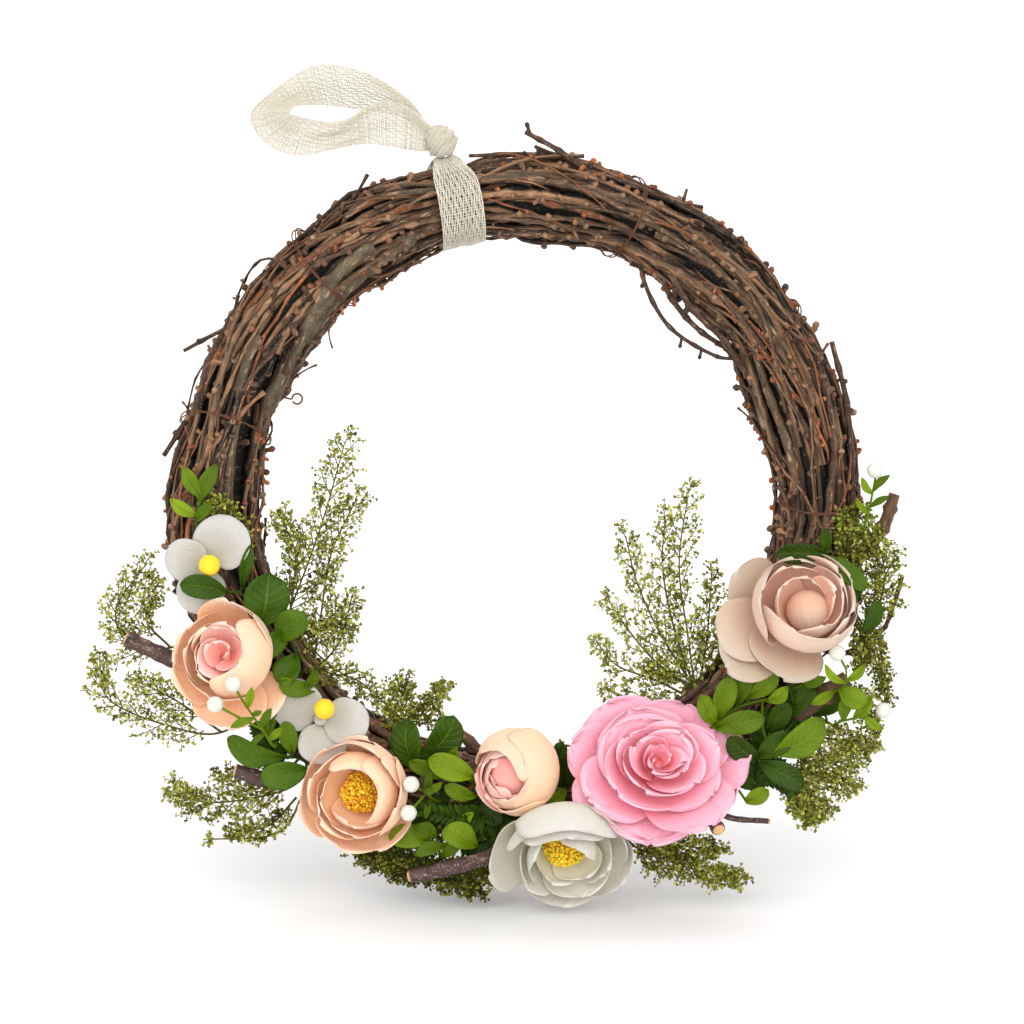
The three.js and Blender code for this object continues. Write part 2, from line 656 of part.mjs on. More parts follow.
const SPRIGS = {
  shoots_left: {
    material: 'lightLeaf',
    stem: [[-132, -19, -14], [-133, -24, -6], [-131, -26, 4]],
    leaves: [[1, [-138, -28, 17], 3.6], [0.9, [-124, -28, 18], 3.7], [0.6, [-144, -27, 3], 3.2],
      [0.5, [-126, -29, 2], 2.6]],
  },
  sprig_left: {
    material: 'darkLeaf',
    stem: [[-98, -17, -54], [-100, -22, -50], [-105, -28, -42], [-112, -30, -36]],
    leaves: [[1, [-141, -34, -32], 4.6], [0.98, [-109, -31, -17], 2.6], [0.4, [-102, -31, -25], 8.6],
      [0.3, [-84, -24, -51], 6.4], [0.2, [-88, -27, -62], 6.6]],
  },
  sprig_left_inner: {
    material: 'lightLeaf',
    stem: [[-86, -16, -70], [-81, -23, -75], [-79, -25, -77]],
    leaves: [[0.8, [-97, -29, -80], 3.4], [0.6, [-97, -23, -73], 3], [1, [-78, -28, -84], 2.6]],
  },
  sprig_low_left: {
    material: 'darkLeaf',
    stem: [[-94, -18, -104], [-96, -24, -107], [-97, -27, -109]],
    leaves: [[1, [-121, -31, -99], 4.2], [0.6, [-108, -29, -118], 4], [1, [-87, -30, -119], 4]],
  },
  sprig_centre_dark: {
    material: 'darkLeaf',
    stem: [[-38, -16, -112], [-38, -21, -110], [-37, -23, -108]],
    leaves: [[0.5, [-41, -25, -90], 6], [1, [-25, -24, -90], 6.3]],
  },
  sprig_centre_light: {
    material: 'lightLeaf',
    stem: [[-14, -18, -122], [-18, -24, -117], [-27, -27, -113], [-33, -27, -112]],
    leaves: [[0.4, [-35, -32, -106], 4.1], [1, [-42, -28, -116], 2.8], [0.8, [-40, -28, -105], 2.2],
      [0.3, [-30, -30, -120], 2.2]],
  },
  sprig_low_light: {
    material: 'lightLeaf',
    stem: [[-12, -17, -141], [-17, -25, -143], [-26, -28, -142], [-37, -28, -142]],
    leaves: [[1, [-52, -30, -142], 5], [0.85, [-41, -32, -134], 2.8], [0.35, [-30, -31, -136], 4.3],
      [0.7, [-40, -29, -150], 2.4]],
  },
  sprig_right_light: {
    material: 'lightLeaf',
    stem: [[84, -17, -96], [87, -24, -93], [94, -27, -86], [101, -27, -82]],
    leaves: [[0.33, [84, -27, -80], 3.5], [0.45, [92, -29, -72], 3.6], [0.7, [102, -29, -70], 2.8],
      [0.95, [111, -29, -72], 3], [1, [118, -28, -79], 2.8], [0.35, [107, -30, -93], 4.2]],
  },
  sprig_right_low: {
    material: 'darkLeaf',
    stem: [[106, -18, -106], [108, -25, -106], [112, -29, -104]],
    leaves: [[0.5, [96, -29, -98], 3.6], [0.7, [114, -28, -94], 2.8], [1, [132, -32, -92], 5.2],
      [0.6, [123, -30, -118], 3.4], [0.3, [108, -28, -121], 3.2]],
  },
  sprig_right_top: {
    material: 'darkLeaf',
    stem: [[134, -17, -20], [134, -23, -18], [133, -25, -17]],
    leaves: [[0.8, [112, -25, -18], 3.6], [1, [135, -26, -7], 2.1], [0.7, [150, -27, -34], 3.4]],
  },
};

const FERN = {
  stem: [[-8, -17, -131], [-15, -25, -133], [-28, -28, -131], [-43, -29, -127]],
  pairs: 5,
  reach: 7,
};

// Berry picks: a stem with narrow leaflets, and the berries at its ends
const PICKS = {
  left: {
    stem: [[-99, -18, -100], [-100, -34, -101], [-104, -47, -92], [-110, -48, -83]],
    leaves: [[0.7, [-100, -49, -83], 1.8], [0.85, [-117, -48, -91], 1.8], [0.5, [-96, -44, -92], 1.6],
      [1, [-108, -50, -74], 1.6]],
    berries: [[-114, -48, -76], [-122, -48, -84]],
  },
  centre: {
    stem: [[-30, -18, -127], [-33, -26, -125], [-36, -33, -121], [-38, -37, -119]],
    leaves: [[0.6, [-34, -34, -112], 1.8], [0.7, [-29, -36, -116], 1.6], [0.4, [-36, -34, -132], 1.4]],
    berries: [[-42, -42, -116], [-43, -43, -128]],
  },
  top: {
    stem: [[148, -12, -14], [151, -18, -6], [153, -20, 4], [154, -22, 11]],
    leaves: [[0.7, [148, -24, 12], 1.6], [0.75, [160, -24, 13], 1.6], [0.5, [160, -22, 4], 1.4]],
    berries: [[154, -22, 15]],
  },
  blush: {
    stem: [[131, -14, -84], [136, -22, -80], [141, -31, -75], [141, -36, -68]],
    leaves: [[0.4, [127, -28, -84], 2.4], [0.75, [149, -37, -66], 1.8], [0.5, [150, -30, -84], 4.4]],
    berries: [[141, -38, -64]],
  },
  right: {
    stem: [[136, -14, -94], [140, -22, -92], [147, -25, -90], [154, -25, -88]],
    leaves: [[0.4, [145, -27, -79], 2.8], [0.6, [153, -28, -80], 2.6], [0.8, [157, -27, -95], 1.8]],
    berries: [[158, -25, -87]],
  },
};

// Each berry's stalk branches from near the end of its pick's stem
function pick({ stem, leaves, berries }) {
  const fork = vector(stem[stem.length - 2]);
  const stalks = berries.slice(1).map((place) => tube([fork, vector(place)], [0.7, 0.6], 3));
  const last = vector(stem.at(-1));
  const end = tube([last, vector(berries[0])], [0.7, 0.6], 3);
  return [...sprig({ stem, radius: 0.8, leaves }), end, ...stalks];
}

function berry(place) {
  const form = turned([[0, -1], [0.75, -0.6], [1, 0.05], [0.7, 0.7], [0, 1]], 8);
  form.rotateX(Math.PI / 2);
  form.scale(BERRY_RADIUS, BERRY_RADIUS, BERRY_RADIUS);
  form.translate(...place);
  return form;
}

// Sprays

// A thread-thin twiglet with florets strung along it, first one side and then the other, each a
// bead in the one skin
function twiglet(root, direction, length, florets) {
  const side = new THREE.Vector3(0.2, -1, 0.1).cross(direction).normalize();
  const points = [root];
  const radii = [0.5];
  for (let k = 0; k < florets; k++) {
    const sway = k % 2 === 0 ? 1.1 : -1.1;
    const neck = root.clone().addScaledVector(direction, (length * (k + 0.45)) / florets);
    const bead = root.clone().addScaledVector(direction, (length * (k + 0.8)) / florets);
    points.push(neck, bead.addScaledVector(side, sway));
    radii.push(0.45, 1.4);
  }
  points.push(root.clone().addScaledVector(direction, length + 0.6));
  radii.push(0);
  return tube(points, radii, 3);
}

// A branching spray: each main stem carries twiglets on both sides, shorter towards its tip. The
// first stem grows from the twigs, and the others from it.
function spray({ stems, seed }) {
  const random = randomFrom(seed);
  const pieces = [];
  stems.forEach(({ path, twiglets, reach, radius = 0.9, from = 0.12 }, n) => {
    const curve = new THREE.CatmullRomCurve3(path.map(vector));
    const fractions = Array.from({ length: twiglets }, (_, k) => from + ((1 - from) * (k + 0.5)) / twiglets);
    if (n === 0) {
      pieces.push(stemAlong(curve, fractions, radius));
    } else {
      const points = [0, ...fractions, 1].map((t) => curve.getPoint(t));
      pieces.push(tube(points, points.map(() => 0.7 * radius), 3));
    }
    fractions.forEach((t, k) => {
      const last = k === twiglets - 1;
      const along = curve.getTangent(t);
      const across = new THREE.Vector3(0, -1, 0).cross(along).normalize();
      const direction = along.multiplyScalar(last ? 1 : 0.6 + 0.3 * random())
        .addScaledVector(across, (k % 2 === 0 ? 1 : -1) * (last ? 0.1 : 1))
        .add(new THREE.Vector3(0, 0.7 * (random() - 0.6), 0))
        .normalize();
      const length = reach * (1.15 - 0.5 * t) * (0.75 + 0.4 * random());
      const florets = Math.max(2, Math.round(length / 4.8));
      pieces.push(twiglet(curve.getPoint(t), direction, length, florets));
    });
  });
  return pieces;
}

const SPRAYS = {
  left_tall: {
    seed: 3,
    stems: [
      { path: [[-94, -10, -56], [-87, -10, -34], [-80, -9, -6], [-71, -8, 26]], twiglets: 11, reach: 17 },
      { path: [[-91, -10, -46], [-82, -10, -55], [-70, -8, -50]], twiglets: 4, reach: 13 },
    ],
  },
  left_arc_high: {
    seed: 5,
    stems: [
      {
        path: [[-146, -8, -62], [-164, -8, -60], [-169, -9, -45], [-156, -9, -26]],
        twiglets: 8,
        reach: 14,
      },
    ],
  },
  left_arc_low: {
    seed: 7,
    stems: [
      {
        path: [[-124, -12, -98], [-148, -11, -95], [-172, -12, -84], [-176, -12, -68]],
        twiglets: 8,
        reach: 13,
      },
    ],
  },
  low_left: {
    seed: 9,
    stems: [
      {
        path: [[-92, -13, -120], [-110, -14, -126], [-130, -14, -128], [-142, -14, -124]],
        twiglets: 7,
        reach: 13,
      },
      {
        path: [[-92, -13, -120], [-104, -15, -142], [-132, -15, -144]],
        twiglets: 2,
        reach: 8,
        from: 0.3,
      },
    ],
  },
  centre_left: {
    seed: 11,
    stems: [
      { path: [[-46, -9, -104], [-47, -9, -92], [-47, -9, -78]], twiglets: 5, reach: 13 },
      { path: [[-46, -9, -95], [-38, -9, -90], [-30, -9, -80]], twiglets: 4, reach: 10 },
    ],
  },
  right_tall: {
    seed: 13,
    stems: [
      { path: [[80, -9, -84], [70, -8, -60], [70, -8, -26], [75, -8, 2]], twiglets: 10, reach: 17 },
      { path: [[70, -8, -60], [60, -7, -40], [53, -7, -20]], twiglets: 5, reach: 13 },
      { path: [[72, -8, -68], [56, -8, -80], [43, -8, -70]], twiglets: 4, reach: 12 },
    ],
  },
  right_outer: {
    seed: 17,
    stems: [
      {
        path: [[148, -12, -52], [158, -13, -40], [158, -14, -22], [148, -14, -4]],
        twiglets: 8,
        reach: 11,
      },
    ],
  },
  right_cluster: {
    seed: 19,
    stems: [
      { path: [[118, -16, -112], [130, -20, -112], [146, -22, -108]], twiglets: 5, reach: 14 },
      { path: [[118, -16, -112], [124, -16, -124], [134, -17, -131]], twiglets: 3, reach: 10 },
    ],
  },
  low_moss_left: {
    seed: 21,
    stems: [
      {
        path: [[-70, -14, -140], [-58, -16, -150], [-34, -18, -158], [-8, -18, -160]],
        twiglets: 8,
        reach: 9,
      },
    ],
  },
  low_moss_right: {
    seed: 23,
    stems: [
      {
        path: [[50, -14, -144], [62, -15, -151], [80, -16, -157], [96, -16, -160]],
        twiglets: 8,
        reach: 11,
      },
    ],
  },
};

// Cut sticks pushed in among the twigs, each a radius and its points
const CUT_STICKS = {
  left: [3.6, [-128, -8, -74], [-146, -13, -66], [-165, -14, -57]],
  low_left: [3.4, [-92, -8, -116], [-104, -20, -117], [-118, -22, -113]],
  low: [3.3, [8, -8, -140], [-8, -24, -149], [-26, -27, -154], [-44, -27, -158]],
  low_right: [1.9, [74, -6, -116], [90, -14, -133], [111, -16, -136]],
};

function cutStick([radius, ...places]) {
  const points = places.map(vector);
  const radii = points.map((_, i) => radius * (i % 2 === 0 ? 1 : 0.93));
  return tube(points, radii, 8);
}

// What binds and hangs the ring comes first, then the ring, and then what is pushed into it

TIE_ANGLES.forEach((degrees, i) => {
  make(`wire_tie_${i + 1}`, 'wire', [wireTie(degrees, [4, 3, 3, -2, 3][i])]);
});
make('ribbon', 'ribbon', ribbon());
for (const [name, stick] of Object.entries(CUT_STICKS)) {
  make(`cut_stick_${name}`, 'stick', [cutStick(stick)]);
}
make('twig_ring', 'twig', twigRing());
for (const [name, flower] of Object.entries(FLOWERS)) makeFlower(name, flower);
for (const [name, { berries }] of Object.entries(PICKS)) {
  berries.forEach((place, i) => make(`berry_${name}_${i + 1}`, 'berry', [berry(place)]));
}
for (const [name, form] of Object.entries(PICKS)) make(`berry_pick_${name}`, 'lightLeaf', pick(form));
for (const [name, { material, ...form }] of Object.entries(SPRIGS)) make(name, material, sprig(form));
make('fern_sprig', 'darkLeaf', ferny(FERN));
for (const [name, form] of Object.entries(SPRAYS)) make(`spray_${name}`, 'floret', spray(form));

ring.position.copy(HOOK).negate();
const group = new THREE.Group();
group.name = 'easter_door_wreath';
group.add(ring);

export default group;
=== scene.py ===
"""Easter door wreath: a ring of birch twigs bound with rusty wire and hung by a jute ribbon, with
cloth spring blooms, leafy sprigs, berry picks, green sprays and cut sticks on its lower half.

Lengths are in millimetres about the ring's centre, and metres() turns them into the part's frame.
Angles round the ring are in degrees from +X, counted towards +Z."""

import bpy
import numpy as np
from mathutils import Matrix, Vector


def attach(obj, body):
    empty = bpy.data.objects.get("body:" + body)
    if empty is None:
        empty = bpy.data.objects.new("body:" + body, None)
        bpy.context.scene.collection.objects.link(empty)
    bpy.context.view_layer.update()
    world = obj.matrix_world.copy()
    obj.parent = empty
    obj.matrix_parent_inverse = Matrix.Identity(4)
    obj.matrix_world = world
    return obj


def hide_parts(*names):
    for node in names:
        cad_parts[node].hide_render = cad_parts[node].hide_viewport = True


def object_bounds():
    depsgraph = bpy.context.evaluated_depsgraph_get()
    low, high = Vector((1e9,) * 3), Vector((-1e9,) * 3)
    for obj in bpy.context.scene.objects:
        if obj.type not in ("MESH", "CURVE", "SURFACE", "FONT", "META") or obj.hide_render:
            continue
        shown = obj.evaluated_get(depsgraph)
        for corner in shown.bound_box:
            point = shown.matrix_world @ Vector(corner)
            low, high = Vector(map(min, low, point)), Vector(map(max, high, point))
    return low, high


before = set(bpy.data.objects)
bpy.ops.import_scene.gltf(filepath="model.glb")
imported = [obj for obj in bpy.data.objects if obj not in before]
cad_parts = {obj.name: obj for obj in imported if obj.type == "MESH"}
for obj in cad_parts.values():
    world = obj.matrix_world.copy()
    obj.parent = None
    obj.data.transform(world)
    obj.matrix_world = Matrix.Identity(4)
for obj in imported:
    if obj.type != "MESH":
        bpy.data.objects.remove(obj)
cad_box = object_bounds()

HOOK = np.array([-76.0, -6.0, 165.0])
FRONT = np.array([0.0, -1.0, 0.0])
UP = np.array([0.0, 0.0, 1.0])


def metres(points):
    """Millimetres about the ring's centre into metres about the hook point."""
    return (np.asarray(points, float) - HOOK) / 1000


# Camera, floor and light

LOOK_AT = Vector(metres([0.4, 0.0, -4.3]))
CAMERA_DISTANCE = 1.45
CAMERA_RISE = np.radians(4)
MM_PER_PIXEL = 0.43
IMAGE_WIDTH = 1024
NEAREST = 0.05
FILM_WIDTH = 36.0


def set_camera():
    """A level view of the front from a little above, as long as the photograph's own."""
    data = bpy.data.cameras.new("camera")
    camera = bpy.data.objects.new("camera", data)
    bpy.context.scene.collection.objects.link(camera)
    away = Vector((0, -np.cos(CAMERA_RISE), np.sin(CAMERA_RISE)))
    camera.location = LOOK_AT + CAMERA_DISTANCE * away
    camera.rotation_euler = away.to_track_quat("Z", "Y").to_euler()
    data.sensor_width = FILM_WIDTH
    data.lens = FILM_WIDTH * CAMERA_DISTANCE * 1000 / (IMAGE_WIDTH * MM_PER_PIXEL)
    data.clip_start = NEAREST
    bpy.context.scene.camera = camera


def set_light(name, place, aim, size, power):
    """A square soft box at a place, in metres, turned to face its aim."""
    data = bpy.data.lights.new(name, "AREA")
    data.size = size
    data.energy = power
    light = bpy.data.objects.new(name, data)
    bpy.context.scene.collection.objects.link(light)
    light.location = place
    light.rotation_euler = (Vector(place) - Vector(aim)).to_track_quat("Z", "Y").to_euler()


set_camera()
CENTRE = (0.076, 0.0, -0.17)
set_light("key light", (-0.9, -1.5, 0.9), CENTRE, 1.0, 8.4)
set_light("front light", (0.2, -1.9, 0.35), CENTRE, 1.3, 12.6)
set_light("fill light", (1.3, -1.3, 0.4), CENTRE, 1.2, 5)
set_light("top light", (0.1, -0.1, 1.3), CENTRE, 1.8, 6)
set_light("backdrop light", (0.076, 0.9, 1.2), (0.076, 2.2, 0.1), 1.4, 9)
world = bpy.data.worlds.new("white studio")
world.use_nodes = True
sky = world.node_tree.nodes["Background"].inputs
sky["Color"].default_value = (1, 1, 1, 1)
sky["Strength"].default_value = 0.85
bpy.context.scene.world = world
bpy.context.scene.view_settings.view_transform = "Standard"


# Shader maths

class Value:
    """A number that varies over a surface. Arithmetic on it adds Math nodes."""

    def __init__(self, finish, socket):
        self.finish = finish
        self.socket = socket

    def math(self, operation, *values):
        inputs = dict(enumerate(values))
        return self.finish.node("Math", {"operation": operation}, inputs)

    def __add__(self, other):
        return self.math("ADD", self, other)

    def __sub__(self, other):
        return self.math("SUBTRACT", self, other)

    def __rsub__(self, other):
        return self.math("SUBTRACT", other, self)

    def __mul__(self, other):
        return self.math("MULTIPLY", self, other)

    def __pow__(self, other):
        return self.math("POWER", self, other)

    def sine(self):
        return self.math("SINE", self)

    def clipped(self):
        return self.math("MINIMUM", self.math("MAXIMUM", self, 0), 1)

    __radd__ = __add__
    __rmul__ = __mul__


def paint(red, green, blue):
    """A colour given in steps from 0 to 255, as the linear colour a shader takes."""
    steps = np.array([red, green, blue]) / 255
    linear = np.where(steps <= 0.04045, steps / 12.92, ((steps + 0.055) / 1.055) ** 2.4)
    return (*linear.tolist(), 1.0)


class Finish:
    """One material. Keyword values are set on its shader's own sockets."""

    def __init__(self, name, **surface):
        self.material = bpy.data.materials.new(name)
        self.material.use_nodes = True
        self.tree = self.material.node_tree
        self.shader = self.tree.nodes["Principled BSDF"]
        for socket, value in surface.items():
            self.shader.inputs[socket.replace("_", " ")].default_value = value

    def feed(self, socket, value):
        if isinstance(value, Value):
            self.tree.links.new(value.socket, socket)
        else:
            socket.default_value = value

    def node(self, kind, settings=None, inputs=None, output=0):
        """Adds a node of a kind, with its settings first and then what its sockets get. A ramp's
        stops are rows of place, red, green and blue, from place 0 to place 1."""
        node = self.tree.nodes.new("ShaderNode" + kind)
        for setting, value in (settings or {}).items():
            if setting == "stops":
                ramp = node.color_ramp.elements
                for position, *colour in value:
                    ends = {0: ramp[0], 1: ramp[-1]}
                    stop = ends[position] if position in ends else ramp.new(position)
                    stop.color = paint(*colour)
            else:
                setattr(node, setting, value)
        for socket, value in (inputs or {}).items():
            self.feed(node.inputs[socket], value)
        return Value(self, node.outputs[output])

    def noise(self, scale, detail, coordinates=None):
        """Fractal noise over the piece, in the part's frame unless coordinates are given."""
        place = coordinates or self.node("TexCoord", output="Object")
        return self.node("TexNoise", None, {"Vector": place, "Scale": scale, "Detail": detail})

    def own(self, axis):
        """The piece's own UV map, across (X) or along (Y)."""
        layer = self.node("UVMap", {"uv_map": "surface"})
        return self.node("SeparateXYZ", None, {0: layer}, output=axis)

    def tint(self):
        return self.node("Attribute", {"attribute_name": "tint"}, output="Fac")

    def ramp(self, factor, stops):
        return self.node("ValToRGB", {"stops": stops}, {0: factor})

    def mixed(self, factor, first, second):
        inputs = {0: factor, 6: first, 7: second}
        return self.node("Mix", {"data_type": "RGBA"}, inputs, output=2)

    def colour(self, value):
        self.feed(self.shader.inputs["Base Color"], value)

    def roughness(self, value):
        self.feed(self.shader.inputs["Roughness"], value)

    def relief(self, height, depth):
        """Bumps of a height from 0 to 1, depth metres deep."""
        bump = self.node("Bump", None, {"Height": height, "Strength": 0.8, "Distance": depth})
        self.feed(self.shader.inputs["Normal"], bump)


# How far out from the middle of the bundle's section the bark carries painted shade, in metres
PAINTED_SHADE_REACH = 0.0157


def bark_finish(name, stops, speckle):
    """Bark: the tint picks the wood, grain follows the twig in long streaks, and small pale pores
    are strewn over it. Dark and pale streaks along the grain are painted shade and painted
    highlights.
    Bark deep in the bundle, by its distance from the middle of the bundle's section, is painted
    dark as shade. A tint near 1 is fresh cut wood."""
    finish = Finish(name, Specular_IOR_Level=0.3)
    length, turn = finish.own("X"), finish.own("Y")
    own = {"X": length * 0.11, "Y": turn * 2.2, "Z": finish.tint() * 60}
    grain = finish.noise(1.6, 4, finish.node("CombineXYZ", None, own))
    place = finish.node("TexCoord", output="Object")
    east, depth, rise = (finish.node("SeparateXYZ", None, {0: place}, output=axis)
                         + float(offset) / 1000 for axis, offset in zip("XYZ", HOOK))
    middle = east * 0.0238 + rise * 0.0116 + RING_RADIUS / 1000
    outward = (east * east + rise * rise) ** 0.5 - middle
    reach = (outward * outward + depth * depth) ** 0.5
    # Painted shade: how deep the bark lies in the bundle, by its reach from the section's middle
    deep = ((PAINTED_SHADE_REACH - reach) * 300).clipped()
    blotches = finish.noise(140, 3, place)
    base = finish.ramp((finish.tint() + (blotches - 0.5) * 0.2).clipped(), stops)
    # Painted shade and painted highlights: dark and pale streaks that follow the grain
    shaded = finish.mixed(((grain - 0.48) * 4).clipped() * 0.62, base, paint(26, 17, 12))
    lit = finish.mixed(((0.42 - grain) * 8).clipped() * 0.55, shaded, paint(214, 172, 136))
    # Painted shade: bark deep in the bundle is mixed towards near black
    deep_shaded = finish.mixed(deep * 0.85, lit, paint(17, 11, 8))
    pores = ((finish.noise(1100, 2, place) - 0.63) * 12).clipped()
    pored = finish.mixed(pores * speckle, deep_shaded, paint(196, 184, 166))
    cut = ((finish.tint() - 0.94) * 30).clipped()
    finish.colour(finish.mixed(cut, pored, paint(226, 178, 134)))
    finish.roughness(grain * 0.3 + 0.5)
    finish.relief(grain * 0.8 + blotches * 0.5, 0.0006)
    return finish


BARK_STOPS = [
    (0, 16, 11, 8), (0.08, 42, 28, 20), (0.2, 70, 48, 34), (0.34, 106, 79, 58),
    (0.46, 156, 117, 84), (0.56, 110, 58, 36), (0.72, 182, 100, 52), (0.84, 84, 72, 54),
    (1, 118, 104, 80)]


def petal_finish(name, outer, inner, deep):
    """Cloth petals: colours run from root to edge, and the tint moves them from the outer petals'
    run to the inner petals' run. Fine veins and soft creases fan out along each petal."""
    finish = Finish(name, Subsurface_Weight=0.15, Subsurface_Scale=0.002, Specular_IOR_Level=0.2,
                    Sheen_Weight=0.15, Sheen_Roughness=0.5)
    finish.shader.inputs["Subsurface Radius"].default_value = (1.0, 0.7, 0.6)
    across, along = finish.own("X"), finish.own("Y")
    wear = finish.noise(55, 3)
    reach = (along + (wear - 0.5) * 0.25).clipped()
    run = finish.mixed(finish.tint(), finish.ramp(reach, outer), finish.ramp(reach, inner))
    veins = ((across * 38 + wear * 16).sine() * 0.5 + 0.5) ** 3
    veined = finish.mixed(veins * (1 - along) * 0.1, run, deep)
    own = {"X": across * 5, "Y": along * 1.3, "Z": finish.tint() * 40}
    creases = finish.noise(1.4, 4, finish.node("CombineXYZ", None, own))
    finish.colour(finish.mixed((creases - 0.5).clipped() * 0.5, veined, deep))
    finish.roughness(wear * 0.12 + 0.62)
    weave = finish.noise(2600, 1)
    finish.relief(veins * 0.15 + weave * 0.2 + wear * 0.5 + creases * 0.8, 0.0006)
    return finish


def leaf_finish(name, stops, rib):
    """Waxy leaves: a thin pale rib, faint side veins that slant towards the tip, mottled green."""
    finish = Finish(name, Specular_IOR_Level=0.15, Coat_Weight=0.02, Coat_Roughness=0.3,
                    Subsurface_Weight=0.05, Subsurface_Scale=0.0015)
    finish.shader.inputs["Subsurface Radius"].default_value = (0.5, 1.0, 0.2)
    across, along = finish.own("X"), finish.own("Y")
    mottle = finish.noise(70, 4)
    width = across.math("ABSOLUTE", across)
    side_veins = (((along * 7 - width * 2) * 6.2832).sine() * 0.5 + 0.5) ** 8
    midrib = (1 - width * 14).clipped()
    green = finish.ramp((finish.tint() * 0.75 + (mottle - 0.35) * 0.6).clipped(), stops)
    veined = finish.mixed(side_veins * 0.09, green, rib)
    finish.colour(finish.mixed(midrib * 0.35, veined, rib))
    finish.roughness(mottle * 0.25 + 0.25)
    finish.relief(midrib * -0.8 + side_veins * -0.25 + mottle * 0.5, 0.0006)
    return finish


def grainy_finish(name, stops, scale, roughness, depth, **surface):
    """A matt finish whose colour and relief follow one fine grain, and the tint."""
    finish = Finish(name, **surface)
    grain = finish.noise(scale, 4)
    finish.colour(finish.ramp((finish.tint() + (grain - 0.5) * 0.7).clipped(), stops))
    finish.roughness(grain * 0.2 + roughness)
    finish.relief(grain, depth)
    return finish


# Meshes

def unit(vectors):
    return vectors / np.maximum(np.linalg.norm(vectors, axis=-1, keepdims=True), 1e-9)


def turns(count):
    """1 and -1 in turn."""
    return np.where(np.arange(count) % 2 == 0, 1, -1)


def in_threes(numbers):
    """Points from a row of their numbers."""
    return np.reshape(numbers, (-1, 3)).astype(float)


def round_axis(radius, turn, height):
    """Points at a radius and a turn round the third axis, and at a height along it."""
    return np.stack(np.broadcast_arrays(radius * np.cos(turn), radius * np.sin(turn), height), -1)


class Form:
    """A mesh in the making: points in millimetres, with a UV and a tint for each, and polygons."""

    def __init__(self):
        self.points, self.uvs, self.tints, self.polygons = [], [], [], {}
        self.size = 0

    def add(self, points, polygons, uvs, tints):
        points = np.asarray(points, float).reshape(-1, 3)
        self.points.append(points)
        self.uvs.append(np.asarray(uvs, float).reshape(-1, 2))
        self.tints.append(np.asarray(tints, float).reshape(-1))
        for faces in polygons:
            self.polygons.setdefault(faces.shape[1], []).append(faces + self.size)
        self.size += len(points)


def make_piece(name, form, finish, replaces=(), smooth=True):
    """Writes a form into a mesh object of its own, in place, that rides on the wreath."""
    points = metres(np.concatenate(form.points))
    uvs, tints = np.concatenate(form.uvs), np.concatenate(form.tints)
    groups = [np.concatenate(faces) for faces in form.polygons.values()]
    corners = np.concatenate([faces.ravel() for faces in groups]).astype(np.int32)
    sides = np.concatenate([np.full(len(faces), faces.shape[1]) for faces in groups])
    mesh = bpy.data.meshes.new(name)
    mesh.vertices.add(len(points))
    mesh.vertices.foreach_set("co", points.ravel())
    mesh.loops.add(len(corners))
    mesh.loops.foreach_set("vertex_index", corners)
    mesh.polygons.add(len(sides))
    mesh.polygons.foreach_set("loop_start", (np.cumsum(sides) - sides).astype(np.int32))
    mesh.polygons.foreach_set("use_smooth", np.full(len(sides), smooth))
    mesh.update(calc_edges=True)
    mesh.uv_layers.new(name="surface").data.foreach_set("uv", uvs[corners].ravel())
    mesh.attributes.new("tint", "FLOAT", "POINT").data.foreach_set("value", tints)
    mesh.materials.append(finish.material)
    piece = bpy.data.objects.new(name, mesh)
    bpy.context.scene.collection.objects.link(piece)
    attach(piece, "root")
    if replaces:
        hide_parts(*replaces)
    return piece


def quads(*corners):
    return np.stack(corners, axis=-1).reshape(-1, 4)


def add_tubes(form, paths, radii, sides=6, tints=0.5, painted_shade_sides=False):
    """Closed tubes along paths (tubes, stations, 3): a ring of points round each station, joined by
    quads, with flat caps. UV: millimetres along, part turn. Tubes with painted shade on their sides
    keep their tint on the side that faces out of the bundle, and it falls off to a dark one on the
    sides between them, as painted shade."""
    paths = np.asarray(paths, float)
    paths = paths[None] if paths.ndim == 2 else paths
    count, stations, _ = paths.shape
    radii = np.broadcast_to(radii, (count, stations))
    along = unit(np.gradient(paths, axis=1))
    spare = np.eye(3)[np.abs(along).mean(axis=1).argmin(axis=-1)][:, None]
    side = unit(np.cross(along, spare))
    other = np.cross(along, side)
    turn = np.arange(sides) * 2 * np.pi / sides
    across = np.cos(turn)[:, None] * side[:, :, None] + np.sin(turn)[:, None] * other[:, :, None]
    rings = paths[:, :, None] + radii[..., None, None] * across
    index = np.arange(count * stations * sides).reshape(count, stations, sides)
    here, there = index[:, :-1], index[:, 1:]
    faces = [quads(here, np.roll(here, -1, 2), np.roll(there, -1, 2), there)]
    faces.append(np.concatenate([index[:, 0, ::-1], index[:, -1]]))
    steps = np.linalg.norm(np.diff(paths, axis=1, prepend=paths[:, :1]), axis=-1)
    distance = np.broadcast_to(np.cumsum(steps, axis=1)[..., None], rings.shape[:3])
    part_turn = np.broadcast_to(np.abs(turn / np.pi - 1), rings.shape[:3])
    tints = np.asarray(tints, float)
    tints = tints.reshape(-1, 1, 1) if tints.ndim < 2 else tints[:, :, None]
    # Painted shade between the twigs: the tint falls off on the sides that face into the bundle
    if painted_shade_sides:
        outward = unit(paths - nearest_middle(paths))
        facing = (across * outward[:, :, None]).sum(-1)
        tints = tints * np.clip((facing + 0.15) / 0.85, 0.1, 1)
    form.add(rings, faces, np.stack([distance, part_turn], -1),
             np.broadcast_to(tints, rings.shape[:3]))


